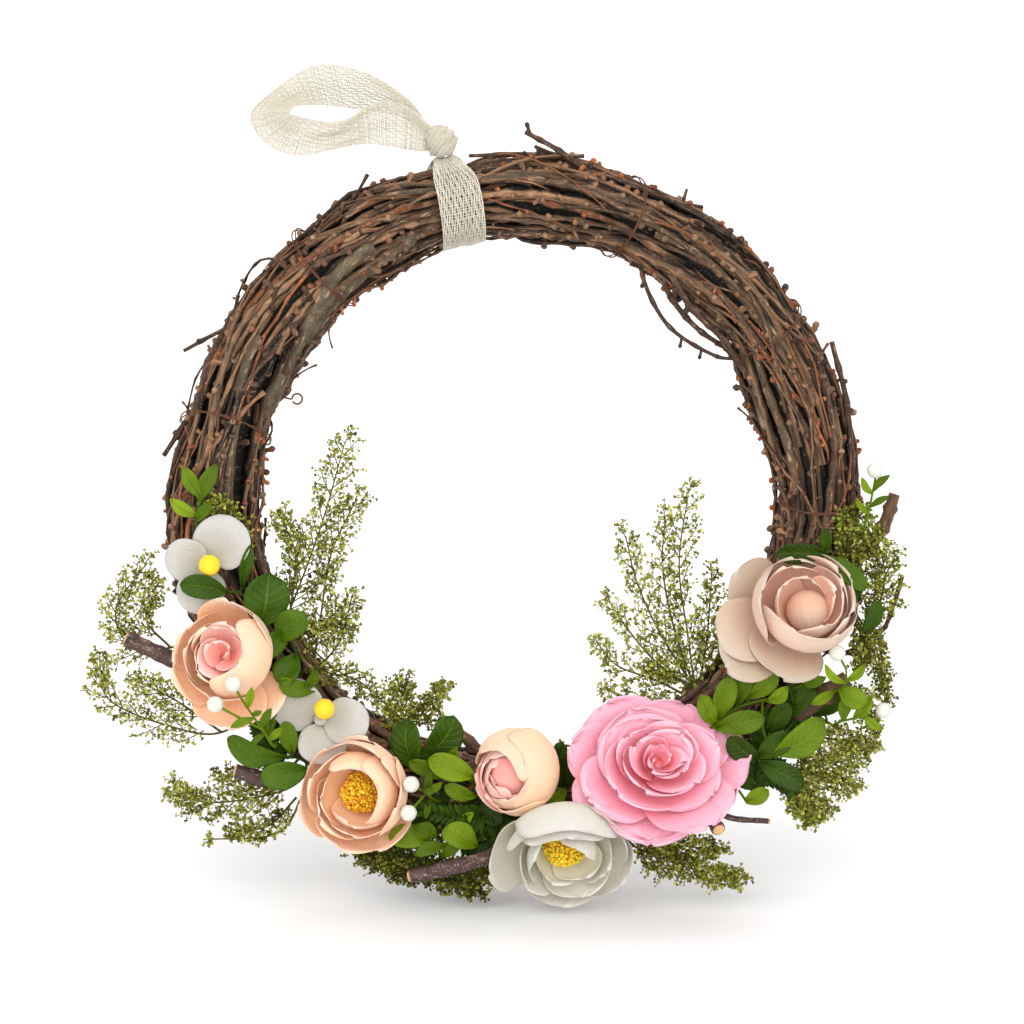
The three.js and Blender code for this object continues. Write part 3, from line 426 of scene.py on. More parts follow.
def add_blade(form, surface, thickness, tint):
    """A thin closed blade over a grid of points (across, along, 3): its two skins lie half the
    thickness off the grid along its normals, and quads close the rim. UV: -1 to 1 across, 0 to 1
    along."""
    wide, long, _ = surface.shape
    normal = unit(np.cross(np.gradient(surface, axis=0), np.gradient(surface, axis=1)))
    lift = thickness / 2 * normal
    points = np.stack([surface + lift, surface - lift])
    top, under = np.arange(2 * wide * long).reshape(2, wide, long)
    rim = [(under[0], top[0]), (top[-1], under[-1]), (top[:, 0], under[:, 0]),
           (under[:, -1], top[:, -1])]
    faces = [
        quads(top[:-1, :-1], top[1:, :-1], top[1:, 1:], top[:-1, 1:]),
        quads(under[:-1, :-1], under[:-1, 1:], under[1:, 1:], under[1:, :-1])]
    faces += [quads(upper[1:], upper[:-1], lower[:-1], lower[1:]) for upper, lower in rim]
    grid = np.meshgrid(np.linspace(-1, 1, wide), np.linspace(0, 1, long), indexing="ij")
    uvs = np.broadcast_to(np.stack(grid, -1), points.shape[:3] + (2,))
    form.add(points, faces, uvs, np.full(points.shape[:3], tint))


def add_copies(form, shape, places, directions, sizes, tints=0.5):
    """Copies of one small closed shape of (points, triangles), its +Z turned to each direction."""
    corners, triangles = shape
    up = unit(np.asarray(directions, float))
    spare = np.where(np.abs(up[:, 2:]) > 0.8, [[1.0, 0.0, 0.0]], [[0.0, 0.0, 1.0]])
    side = unit(np.cross(up, spare))
    other = np.cross(up, side)
    axes = np.stack([side, other, up], axis=1)
    points = places[:, None] + sizes[:, None, None] * (corners @ axes)
    starts = len(corners) * np.arange(len(places))[:, None, None]
    uvs = np.broadcast_to(corners[:, :2], points.shape[:2] + (2,))
    tints = np.broadcast_to(np.asarray(tints, float).reshape(-1, 1), points.shape[:2])
    form.add(points, [(triangles + starts).reshape(-1, 3)], uvs, tints)


def add_one(form, shape, place, direction, size=1.0, tint=0.5):
    add_copies(form, shape, place[None], direction[None], np.array([float(size)]), tint)


def turned_shape(profile, sides):
    """A closed body of revolution about +Z from a profile of (radius, height) that starts and ends
    on the axis, as points and triangles."""
    profile = np.asarray(profile, float)
    turn = np.arange(sides) * 2 * np.pi / sides
    rings = profile[1:-1]
    body = round_axis(rings[:, :1], turn, rings[:, 1:]).reshape(-1, 3)
    points = np.vstack([[0, 0, profile[0, 1]], body, [0, 0, profile[-1, 1]]])
    index = 1 + np.arange(len(rings) * sides).reshape(-1, sides)
    after = np.roll(index, -1, 1)
    first = np.stack([np.zeros(sides, int), after[0], index[0]], -1)
    last = np.stack([index[-1], after[-1], np.full(sides, len(points) - 1)], -1)
    lower = np.stack([index[:-1], after[:-1], after[1:]], -1).reshape(-1, 3)
    upper = np.stack([index[:-1], after[1:], index[1:]], -1).reshape(-1, 3)
    return points, np.concatenate([first, lower, upper, last])


def smooth_path(points, count):
    """A Catmull-Rom curve through the points: between two of them it is the cubic whose slope at
    each is half the step between its neighbours."""
    points = np.asarray(points, float)
    ends = np.vstack([2 * points[0] - points[1], points, 2 * points[-1] - points[-2]])
    place = np.linspace(0, len(points) - 1, count)
    start = np.minimum(place.astype(int), len(points) - 2)
    part = (place - start)[:, None]
    a, b, c, d = (ends[start + k] for k in range(4))
    bend = (2 * a - 5 * b + 4 * c - d) * part + (3 * b - a - 3 * c + d) * part ** 2
    return b + 0.5 * ((c - a) * part + bend * part)


# Ring of twigs

RING_RADIUS = 128.5
BUNDLE_RADIUS = 15.2
BUNDLE_DEPTH = 0.94
TIE_ANGLES = [2, 34.5, 68.5, 128, 165.5]
RIBBON_ANGLE = 100.5
TIE_PINCH = 0.1
STEPS_PER_KNOT = 3
BUD_SHARE = 0.55


def bell(degrees, centre, spread):
    """1 at the centre, falling off as a bell over the spread."""
    apart = (degrees - centre + 540) % 360 - 180
    return np.exp(-((apart / spread) ** 2))


def on_bundle(degrees, turn, reach):
    """A point of the bundle: an angle round the ring, a turn round its section from the outer side
    with the front at -90, and a reach from the section's middle, scaled by the bundle's fullness.
    The middle wanders a little, and the ties and the ribbon draw the bundle in."""
    middle = RING_RADIUS + 3.4 * np.cos(np.radians(degrees - 26)) - 2.4 * bell(degrees, 21, 14)
    middle = middle + 2.2 * bell(degrees, 187, 14) + 0.5 * bell(degrees, 132, 24)
    swellings = [(0.06, 165, 50), (-0.06, 50, 14), (-0.07, 104, 9), (0.1, 20, 13), (0.11, 187, 15),
                 (0.06, 132, 24)]
    full = 1 + sum(size * bell(degrees, centre, spread) for size, centre, spread in swellings)
    drawn_in = sum(TIE_PINCH * bell(degrees, tie, 7) for tie in [*TIE_ANGLES, RIBBON_ANGLE])
    scaled = reach * (full - drawn_in)
    outward = middle + scaled * np.cos(np.radians(turn))
    depth = scaled * BUNDLE_DEPTH * np.sin(np.radians(turn))
    return round_axis(outward, np.radians(degrees), depth)[..., [0, 2, 1]]


def round_ring(points):
    """The points' angles round the ring."""
    return np.degrees(np.arctan2(points[..., 2], points[..., 0]))


def nearest_middle(points):
    """The middle of the bundle's section at each point's angle round the ring."""
    return on_bundle(round_ring(points), 0, 0)


def root_below(point):
    """The place half way in among the twigs from a point at their surface."""
    middle = nearest_middle(point)
    return middle + unit(point - middle) * BUNDLE_RADIUS / 2


def kinked(rng, count, knots, amount):
    """For each twig a line through random values at its knots, read at every station."""
    values = rng.normal(0, amount, (count, knots + 1))
    place = np.arange(knots * STEPS_PER_KNOT + 1) / STEPS_PER_KNOT
    start = np.minimum(place.astype(int), knots - 1)
    return values[:, start] + (values[:, start + 1] - values[:, start]) * (place - start)


def twig_paths(rng, count, knots, spans, reaches, slant, kink, free_share):
    """Paths of twigs that run round the bundle: each keeps near one reach from the section's
    middle, slants across its neighbours, bends at its knots, tucks in at its start, stands off at
    its end where free, and lies closer under the ribbon."""
    part = np.arange(knots * STEPS_PER_KNOT + 1) / (knots * STEPS_PER_KNOT)
    start = rng.uniform(0, 360, (count, 1))
    span = rng.uniform(*spans, (count, 1)) * rng.choice([-1, 1], (count, 1))
    turn = rng.uniform(0, 360, (count, 1))
    reach = rng.uniform(*reaches, (count, 1))
    degrees = start + span * part
    turns = turn + rng.normal(0, slant, (count, 1)) * part + 4 * np.sin(6 * part + turn)
    turns = turns + kinked(rng, count, knots, kink * 3.5)
    free = rng.random((count, 1)) < free_share
    stand_off = rng.exponential(2.2, (count, 1)).clip(0, 7)
    lift = np.where(free, stand_off * np.clip((part - 0.8) / 0.2, 0, 1) ** 2, 0)
    lift = lift * (1 - bell(degrees, RIBBON_ANGLE, 9)) - 0.9 * bell(degrees, RIBBON_ANGLE, 7)
    tuck = -4 * np.clip((0.06 - part) / 0.06, 0, 1)
    swell = 0.9 * np.sin(7 * part + 3 * turn)
    return on_bundle(degrees, turns, reach + kinked(rng, count, knots, kink) + swell + lift + tuck)


def twig_radii(rng, count, knots, radii):
    """Radii that taper along each twig and swell at its knots and its end."""
    stations = np.arange(knots * STEPS_PER_KNOT + 1)
    part = stations / stations[-1]
    swollen = np.where(stations % STEPS_PER_KNOT == 0, 1.42, 0.92)
    base = rng.uniform(*radii, (count, 1))
    return base * (1.12 - 0.35 * part) * swollen * (1 + rng.normal(0, 0.05, (count, len(part))))


def add_buds(form, rng, paths, radii, tints, share):
    """Buds and short spurs at some of the knots, which lean forward out of the bundle."""
    knots = paths[:, STEPS_PER_KNOT:-1:STEPS_PER_KNOT]
    along = unit(knots - paths[:, STEPS_PER_KNOT - 1:-2:STEPS_PER_KNOT])
    thick = radii[:, STEPS_PER_KNOT:-1:STEPS_PER_KNOT]
    tints = np.broadcast_to(np.reshape(tints, (-1, 1)), thick.shape)
    off_ribbon = bell(round_ring(knots), RIBBON_ANGLE, 6) < 0.3
    chosen = (rng.random(thick.shape) < share) & off_ribbon
    root, ahead, thick, tints = knots[chosen], along[chosen], thick[chosen], tints[chosen]
    outward = unit(root - nearest_middle(root))
    aside = np.cross(ahead, outward) * rng.normal(0, 0.9, (len(root), 1))
    lean = unit(ahead * 0.5 + outward * 0.8 + aside)
    thick = np.clip(thick * 1.15, 0.7, 1.7)[:, None]
    spur = rng.random((len(root), 1)) < 0.25
    reach = thick * 0.9 + np.where(spur, rng.uniform(1.2, 3.6, (len(root), 1)), 0.2)
    neck = root + lean * reach
    path = np.stack([root, root + lean * reach * 0.6, neck, neck + lean * thick * 0.9], axis=1)
    add_tubes(form, path, thick * np.array([0.85, 0.6, 0.95, 0.55]), 4, tints)


# Groups of twigs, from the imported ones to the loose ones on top: how many, knots, spans, reaches,
# slant, kink, share with a free end, radii, and the middle and spread of the bark's tint
TWIG_GROUPS = [
    (165, 14, (60, 105), (12.6, 16.4), 40, 0.4, 0.3, (1.15, 1.95), 0.3, 0.13),
    (260, 7, (26, 50), (14.2, 18.0), 52, 0.5, 0.6, (0.85, 1.5), 0.38, 0.18),
    (120, 8, (24, 50), (16.2, 18.9), 60, 0.6, 0.7, (0.4, 0.8), 0.58, 0.14)]


def make_ring():
    """A ridged core painted near black as the shade inside the bundle, hundreds of bark twigs round
    it in two pieces with painted shade on their sides between them, and their buds.
    """
    rng = np.random.default_rng(7)
    bark = bark_finish("birch bark", BARK_STOPS, 0.3)
    coarse, fine, buds = Form(), Form(), Form()
    steps, ridges = 150, 26
    degrees = np.arange(steps)[:, None] * 360 / steps
    around = np.arange(2 * ridges)[None] * 180 / ridges
    reach = 11.8 + 0.7 * turns(2 * ridges)
    core = on_bundle(degrees, around + 8 * np.sin(np.radians(2 * degrees)), reach)
    index = np.arange(core[..., 0].size).reshape(steps, 2 * ridges)
    after = np.roll(index, -1, 0)
    skin = quads(index, after, np.roll(after, -1, 1), np.roll(index, -1, 1))
    flat = np.broadcast_to(degrees[..., None] * [2.3, 0], core.shape[:2] + (2,))
    # Painted shade: the core's tint is the darkest bark, standing for the shade inside the bundle
    coarse.add(core, [skin], flat, np.full(core.shape[:2], 0.02))
    for form, group in zip((coarse, fine, fine), TWIG_GROUPS):
        count, knots, spans, reaches, slant, kink, free_share, thick, tint, spread = group
        paths = twig_paths(rng, count, knots, spans, reaches, slant, kink, free_share)
        radii = twig_radii(rng, count, knots, thick)
        tints = np.clip(rng.normal(tint, spread, count), 0.02, 0.78)
        # The twigs' sides between their neighbours carry painted shade
        add_tubes(form, paths, radii, 6 if form is coarse else 5, tints, painted_shade_sides=True)
        add_buds(buds, rng, paths, radii, tints + 0.06, BUD_SHARE)
    for start, span, turn, twist, reach, radius, tint in GREY_BRANCHES:
        part = np.linspace(0, 1, 70)
        path = on_bundle(start + span * part, turn + twist * part + 4 * np.sin(9 * part),
                         reach + 0.5 * np.sin(11 * part))
        lumps = 1 + 0.07 * np.sin(31 * part) + 0.16 * (np.sin(47 * part) > 0.93)
        add_tubes(fine, path, radius * (1.1 - 0.3 * part) * lumps, 10, tint)
    for radius, *points in STRAY_TWIGS + LOOSE_TWIGS:
        points = in_threes(points)
        count = 8 * len(points)
        path = smooth_path([root_below(points[0]), *points], count)
        knotty = np.where(np.arange(count) % 4 == 0, 1.3, 0.95) * np.linspace(1.1, 0.75, count)
        tint = 0.3 if radius > 2 else 0.2
        add_tubes(fine, path, radius * knotty, 10 if radius > 2 else 6, tint)
        add_buds(buds, rng, path[None], radius * knotty[None], [tint], 0.5)
    make_piece("twigs", coarse, bark, ["twig_ring"])
    make_piece("fine_twigs", fine, bark)
    make_piece("twig_buds", buds, bark)


# Start, span, turn, twist, reach, radius and tint of the thicker grey branches
GREY_BRANCHES = [
    (118, 44, -104, -60, 15.7, 2.7, 0.9), (124, 48, -132, -40, 15.7, 2.5, 0.87),
    (110, 32, -124, -44, 15.6, 2.4, 0.88), (146, 36, -88, -30, 16.2, 1.9, 0.86),
    (16, 52, -156, 20, 15.6, 2.1, 0.86), (2, 44, -132, 16, 16.0, 1.9, 0.84),
    (62, -44, -95, 24, 16.2, 1.6, 0.84), (84, 36, -64, 20, 16.2, 1.6, 0.83)]

# Twigs that have come away from the bundle's inner side at the upper right, and leave slits
LOOSE_TWIGS = [
    (1.4, 62, -4, 104, 68, -8, 88, 80, -9, 74, 96, -6, 64),
    (1.5, 66, -9, 103, 76, -13, 84, 90, -12, 70, 104, -8, 50),
    (1.2, -58, 2, 103, -44, 0, 109, -32, 0, 113, -14, -2, 118)]

# Tips and branch ends that stand out of the bundle, each a radius and its points
STRAY_TWIGS = [
    (1.4, 60, -4, 122, 38, -8, 137, 22, -8, 149, 6, -6, 158), (1.1, 32, -6, 142, 10, -4, 152),
    (1.1, 10, -4, 148, -18, -4, 148), (0.9, 72, -2, 124, 75, -2, 134),
    (1.1, -122, -3, 74, -140, -4, 65), (1.4, -134, -2, 42, -149, -2, 20),
    (1.5, 146, -4, 0, 144, -4, 40, 137, -4, 69),
    (1, 56, -2, 98, 67, -2, 76, 87, -2, 63, 98, -2, 62), (1.2, 112, -4, -34, 113, -6, -12),
    (3.4, 142, -6, -30, 158, -8, -12, 164, -8, 4),
    (1.2, 142, 2, -66, 158, -4, -56, 162, -6, -50, 168, -6, -31), (5, 122, -16, -88, 143, -20, -74),
    (2.3, 70, -14, -92, 90, -16, -76), (2, 68, -14, -90, 84, -18, -75),
    (2.6, -8, -12, -112, -26, -14, -94), (2.2, -46, -10, -104, -81, -10, -84)]

make_ring()


# Wire ties

def curled_end(start, eye, radius):
    """A wire end that runs straight to an eye, then round it."""
    turn = np.linspace(np.pi, -0.85 * np.pi, 20)[:, None]
    circle = np.array(eye) + radius * (np.cos(turn) * [1, 0, 0] + np.sin(turn) * [0, 0, 1])
    return np.concatenate([np.linspace(start, circle[0] - [1, 0, 0], 6), circle])


WIRE_RADIUS = 0.32
WIRE_REACH = 20.3
TIE_SLANTS = [4, 3, 3, -2, 3]


def make_ties():
    """Two turns of thin wire round the bundle, and a short twist of its ends at the back. The last
    tie has a curled end in front."""
    rust = [(0, 52, 30, 22), (0.5, 98, 58, 38), (1, 134, 84, 54)]
    rusty = grainy_finish("rusty wire", rust, 1500, 0.45, 0.0001, Metallic=0.5)
    turn = np.linspace(0, 720, 120)
    twist = np.linspace(0, 1, 40)
    drift = 0.5 * turn / 720 + 0.25 * np.sin(np.radians(turn * 2.5))
    for number, (angle, slant) in enumerate(zip(TIE_ANGLES, TIE_SLANTS), 1):
        form = Form()
        degrees = angle + slant * np.cos(np.radians(turn)) + drift
        coil = on_bundle(degrees, turn + 90, WIRE_REACH + 0.25 * np.sin(np.radians(turn * 7)))
        add_tubes(form, coil, WIRE_RADIUS)
        for side in (0, np.pi):
            across = 0.45 * np.cos(22 * twist + side)
            lift = WIRE_REACH + 5 * twist + 0.45 * np.sin(22 * twist + side)
            ends = on_bundle(angle + slant * 0.1 + across * 0.44, 90 + 9 * twist, lift)
            add_tubes(form, ends, WIRE_RADIUS)
        if number == len(TIE_ANGLES):
            add_tubes(form, curled_end([-104, -3, 47], [-91.5, -4, 44.5], 2.2), 0.42)
        make_piece(f"wire_{number}", form, rusty, [f"wire_tie_{number}"])


make_ties()


# Ribbon

KNOT = np.array([-30.0, -5.0, 154.0])
# The loop's stations from the knot and back to it: the ribbon's middle, the way it lies across,
# and its width
LOOP = np.array([
    (-31, -2, 154, -0.79, -0.22, 0.58, 8), (-35.5, -1, 160.3, -0.56, -0.18, 0.81, 11.4),
    (-41.8, 1, 166.7, -0.52, 0, 0.86, 16), (-52.2, 2.5, 173.1, -0.45, 0.06, 0.89, 17),
    (-63.2, 4.5, 176.1, -0.26, 0.05, 0.96, 18), (-73.8, 5.5, 178.1, -0.24, 0.05, 0.97, 18.4),
    (-82, 5, 178.1, -0.3, 0.12, 0.95, 17.4), (-88.8, 3.5, 176.2, -0.48, 0.2, 0.85, 14.8),
    (-94.5, 1, 173.5, -0.76, 0.3, 0.57, 13.3), (-99, -2.5, 170.5, -0.96, 0.2, 0.21, 15),
    (-102.1, -6.5, 166.4, -0.98, 0.17, -0.04, 17.2),
    (-101.3, -9.5, 162.4, -0.93, 0.18, -0.32, 16.8), (-97.9, -11.5, 159, -0.74, 0.18, -0.65, 17),
    (-92.5, -13.5, 156.4, -0.46, 0.18, -0.87, 17), (-85.2, -14.5, 155.3, -0.23, 0.2, -0.95, 15.3),
    (-75.3, -15, 155.9, -0.09, 0.35, -0.93, 11.8), (-67.3, -14, 157.9, 0.05, 0.33, -0.94, 12.6),
    (-59.9, -12.5, 160.6, 0.07, 0.19, -0.98, 16), (-51.7, -10, 161.2, 0, 0.11, -0.99, 18.7),
    (-43.4, -8.5, 159, -0.08, 0.06, -1, 17.1), (-36.4, -7.5, 155.7, -0.14, 0.08, -0.99, 12),
    (-31.3, -6.5, 153.4, -0.26, 0.15, -0.95, 7)])
RIBBON_WIDTH = 18
LONG_THREADS = 24
THREAD_RADIUS = 0.29


def add_weave(form, rng, middle, widthways, widths, ripple, count=LONG_THREADS):
    """Open-mesh cloth along a strip. Threads run its length in pairs that draw together and part
    again, which opens long narrow holes, and thinner threads cross them at every station. Where
    two meet, the long one passes over, then under."""
    along = unit(np.gradient(middle, axis=0))
    side = unit(widthways)
    out = unit(np.cross(along, side))
    stations = len(middle)
    thread, station = np.arange(count)[:, None], np.arange(stations)
    drawn = 0.3 * np.sin(0.9 * station + 2.1 * (thread // 2)) * turns(count)[:, None]
    inner = (thread > 0) & (thread < count - 1)
    place = thread + drawn * inner + rng.normal(0, 0.07, (count, stations))
    across = 2 * place / (count - 1) - 1
    fold = np.sin(5 * across + 0.16 * station) + 0.5 * np.sin(9 * across - 0.07 * station)
    over = turns(count)[:, None] * turns(stations)
    half = np.asarray(widths)[None, :, None] / 2

    def lying(lift):
        return middle + across[..., None] * half * side + (ripple * fold + lift)[..., None] * out

    shade = rng.uniform(0.35, 0.9, count)
    add_tubes(form, lying(THREAD_RADIUS * 0.8 * over), THREAD_RADIUS, 3, shade)
    cross = lying(-THREAD_RADIUS * 0.8 * over).transpose(1, 0, 2)
    cross = cross + rng.normal(0, 0.16, (stations, 1, 1)) * along[:, None]
    add_tubes(form, cross, THREAD_RADIUS * 0.8, 3, rng.uniform(0.35, 0.9, stations))


def make_ribbon():
    """One length of jute ribbon: a band round the bundle, a knot on top and the loop."""
    rng = np.random.default_rng(21)
    pale = [(0, 180, 169, 146), (0.5, 211, 202, 183), (1, 231, 225, 210)]
    jute = grainy_finish("jute thread", pale, 2200, 0.72, 0.00015, Sheen_Weight=0.1)
    form = Form()
    turn = np.linspace(0, 360, 96)
    axis = on_bundle(RIBBON_ANGLE + 1, 0, 0) - on_bundle(RIBBON_ANGLE - 1, 0, 0)
    swing = 1.1 * np.sin(np.radians(turn + 90)) + 0.7 * bell(turn + 90, 345, 34)
    band = on_bundle(RIBBON_ANGLE + swing, turn + 90, 20.6 + 3.6 * bell(turn + 90, 348, 24))
    gather = RIBBON_WIDTH - 9 * bell(turn + 90, 348, 27)
    add_weave(form, rng, band, np.broadcast_to(axis, band.shape), gather, 0.25)
    loop = smooth_path(LOOP, 230)
    add_weave(form, rng, loop[:, :3], loop[:, 3:6], loop[:, 6], 0.45)
    ribbon = make_piece("ribbon_cloth", form, jute, ["ribbon"])

    knot = Form()
    lengthways = unit(np.array([-0.85, 0.0, 0.5]))
    upward = unit(np.array([0.5, 0.0, 0.85]))
    step = np.linspace(-1, 1, 120)[:, None]
    turn = 2.7 * np.pi * step
    barrel = np.sqrt(1 - (0.62 * step) ** 2)
    around = np.cos(turn) * upward + np.sin(turn) * FRONT
    wrap = KNOT + 4.6 * step * lengthways + 6.3 * barrel * around
    slope = unit(lengthways - 0.52 * step / barrel * around)
    add_weave(knot, rng, wrap, slope, 5.2 + 0.8 * np.sin(2 * turn[:, 0]), 0.35, 12)
    half = [(3.2, -6.4), (4.9, -3.4), (5.6, 0), (4.9, 3.4), (3.2, 6.4)]
    add_one(knot, turned_shape([(0, -7), *half, (0, 7)], 20), KNOT, lengthways, tint=0.35)
    knot = make_piece("ribbon_knot", knot, jute)


make_ribbon()


# Blooms

def petal_width(part):
    """A petal's half width along it: a claw at the root, full past the middle, a round tip."""
    open_up = 0.18 + 0.82 * np.sin(np.pi / 2 * np.minimum(1, part / 0.55))
    return open_up * (1 - np.clip((part - 0.55) / 0.45, 0, 1) ** 2.6 * 0.985) ** 0.45


PETAL_TUCK = 1.2
PETAL_THICKNESS = 0.22
PROFILE_STEPS = 80


def add_petal(form, rng, axes, azimuth, width, curl, tint, profile, ruffle, frill, size):
    """One petal of a bloom. Its middle follows a profile of (radius, height) out of the bloom's
    axis, it wraps round the axis as far as its half width allows, one side is tucked under its
    neighbour, its rim rolls back by the curl, and waves run in from the rim. The frill nicks the
    rim, and the size is its grid's points across and along."""
    across = np.linspace(-1, 1, size[0])[:, None]
    part = 1 - (1 - np.linspace(0, 1, size[1])[None]) ** 1.5
    phase = rng.uniform(0, 2 * np.pi, 4)
    nick = frill * (1 + 0.5 * np.sin(8 * across + phase[0]) + 0.5 * np.sin(17 * across + phase[1]))
    line = smooth_path(profile, PROFILE_STEPS)
    slope = unit(np.gradient(line, axis=0))
    place = np.clip(part * (1 - nick * part ** 3), 0, 1) * (PROFILE_STEPS - 1)

    def along_line(values):
        return np.interp(place, np.arange(PROFILE_STEPS), values)

    radius, height = along_line(line[:, 0]), along_line(line[:, 1])
    run, rise = along_line(slope[:, 0]), along_line(slope[:, 1])
    bend = np.minimum(width * petal_width(part) / np.maximum(radius, 3), 1.7)
    tip = np.clip((part - 0.72) / 0.28, 0, 1) ** 2
    rim = tip + 0.7 * np.clip((np.abs(across) - 0.6) / 0.4, 0, 1) ** 2 * part
    waves = np.sin(5.5 * across + phase[2]) + 0.4 * np.sin(11 * across + 4 * part + phase[3])
    off = PETAL_TUCK * across + 0.65 * curl * rim
    off = off + ruffle * waves * part ** 2 * (0.35 + 0.65 * rim)
    turn = np.radians(azimuth) + across * bend
    points = round_axis(radius + off * rise, turn, height - off * run)
    origin, basis = axes
    add_blade(form, origin + points @ basis, PETAL_THICKNESS, tint)


def bloom_axes(at, facing, flatten=1.0):
    """A bloom's place and its right, up and forward directions, the second one shortened."""
    forward = unit(np.array(facing, float))
    right = unit(np.cross(UP, forward))
    return np.array(at, float), np.stack([right, flatten * np.cross(forward, right), forward])


def add_petals(form, rng, axes, start, width, curl, tint, profile, count=1, arc=360, scatter=0,
               ruffle=0.35, frill=0, size=(19, 19)):
    """Petals at even steps round the axis, each a little out of place, size and lean. The profile
    is a row of radii and heights in turn."""
    for k in range(count):
        wide, out, lift = 1 + scatter * rng.normal(0, [0.08, 0.05, 0.9])
        azimuth = start + arc * k / count + scatter * rng.normal(0, 7)
        moved = [(r * out, h + (lift - 1) * r / 25) for r, h in zip(profile[::2], profile[1::2])]
        add_petal(form, rng, axes, azimuth, width * wide, curl, tint, moved, ruffle, frill, size)


GOLDEN_ANGLE = 2.399963


def add_granules(form, rng, axes, count, radius, height, size, tints):
    """Little grains over a dome: even spiral steps over the cap, each a small six-sided bead."""
    bead = turned_shape([(0, -1), (0.8, -0.4), (0.8, 0.5), (0, 1)], 6)
    step = np.arange(count) + 0.5
    polar = np.arccos(1 - step / count)
    around = round_axis(np.sin(polar), step * GOLDEN_ANGLE, np.cos(polar))
    dome = around * [radius, radius, height * 0.55] + [0, 0, height * 0.45]
    origin, basis = axes
    under = np.array([(0, 0), (0.8, 0.3), (0.82, 0.6), (0.5, 0.86), (0, 0.93)]) * [radius, height]
    add_one(form, turned_shape(under, 20), origin, basis[2], tint=0.25)
    places = origin + (dome + rng.normal(0, 0.3, dome.shape)) @ basis
    sizes = rng.uniform(*size, count)
    add_copies(form, bead, places, around @ basis, sizes, rng.uniform(*tints, count))


def add_base(form, axes, radius):
    """The swelling under a bloom, and its stalk down among the twigs."""
    origin, basis = axes
    swelling = turned_shape([(0, -4.2), (2.4, -4), (radius, -1.5), (radius * 0.9, 3), (0, 4)], 16)
    add_one(form, swelling, origin, basis[2], tint=0.3)
    add_tubes(form, smooth_path([root_below(origin), origin], 6), 1.7, 8, 0.3)


def add_ball(form, axes, centre, radius, tint):
    """A round ball on a short stalk from the bloom's throat."""
    origin, basis = axes
    polar = np.linspace(0, np.pi, 19)
    sphere = turned_shape(np.stack([np.sin(polar), -np.cos(polar)], -1), 28)
    place = origin + np.array(centre, float) @ basis
    add_one(form, sphere, place, basis[2], radius, tint)
    add_tubes(form, smooth_path([origin + basis[2], place], 6), 0.9, 8, 0.2)


YELLOW = [(0, 232, 146, 24), (0.5, 250, 196, 30), (1, 254, 226, 50)]
stamen_finish = grainy_finish("pollen", YELLOW, 1200, 0.6, 0.0002, Subsurface_Weight=0.4,
                              Subsurface_Scale=0.002)


def make_bloom(name, at, facing, finish, core, core_finish, outer, seed,
               inner=(), grains=None, ball=None, base=6.5, flatten=1.0):
    """A bloom's petals in rings, and as its core, a piece of its own, the inner petals, grains or
    ball. A row of petals gives what add_petals takes, from the start on, grains what add_granules
    takes, and ball what add_ball takes."""
    rng = np.random.default_rng(seed)
    axes = bloom_axes(at, facing, flatten)
    petals, heart = Form(), Form()
    add_base(petals, axes, base)
    for row in outer:
        add_petals(petals, rng, axes, *row)
    if inner:
        throat = turned_shape([(0, 1), (3.2, 3), (2.6, 9), (1.6, 12), (0, 13)], 16)
        add_one(heart, throat, axes[0], axes[1][2], tint=0.9)
    for row in inner:
        add_petals(heart, rng, axes, *row)
    if grains:
        add_granules(heart, rng, axes, *grains)
    if ball:
        add_ball(heart, axes, *ball)
    make_piece(f"{name}_cloth_petals", petals, finish, [f"{name}_petals"])
    make_piece(f"{name}_cloth_{core}", heart, core_finish, [f"{name}_{core}"])


peach = petal_finish(
    "peach cloth",
    [(0, 254, 207, 165), (0.4, 252, 206, 169), (0.8, 247, 203, 172), (1, 246, 211, 188)],
    [(0, 253, 190, 142), (0.5, 253, 200, 158), (0.85, 252, 209, 175), (1, 252, 222, 198)],
    paint(249, 186, 145))
pink_heart = petal_finish(
    "pink heart cloth",
    [(0, 254, 176, 160), (0.4, 254, 192, 178), (0.8, 254, 208, 196), (1, 254, 222, 212)],
    [(0, 254, 154, 144), (0.5, 254, 172, 162), (1, 254, 194, 186)],
    paint(251, 164, 154))
pink = petal_finish(
    "pink cloth",
    [(0, 250, 152, 172), (0.4, 250, 166, 186), (0.75, 247, 178, 198), (1, 244, 196, 212)],
    [(0, 252, 146, 142), (0.4, 253, 158, 170), (0.75, 253, 174, 192), (1, 253, 198, 212)],
    paint(250, 140, 160))
white = petal_finish(
    "white cloth",
    [(0, 184, 180, 162), (0.35, 190, 186, 178), (0.8, 195, 191, 186), (1, 202, 198, 195)],
    [(0, 228, 217, 158), (0.5, 232, 226, 204), (1, 236, 231, 220)],
    paint(190, 182, 160))
blush = petal_finish(
    "blush cloth",
    [(0, 196, 160, 134), (0.4, 194, 168, 144), (0.8, 193, 174, 155), (1, 202, 186, 171)],
    [(0, 248, 184, 158), (0.4, 249, 196, 172), (0.8, 250, 208, 188), (1, 250, 220, 204)],
    paint(232, 172, 148))

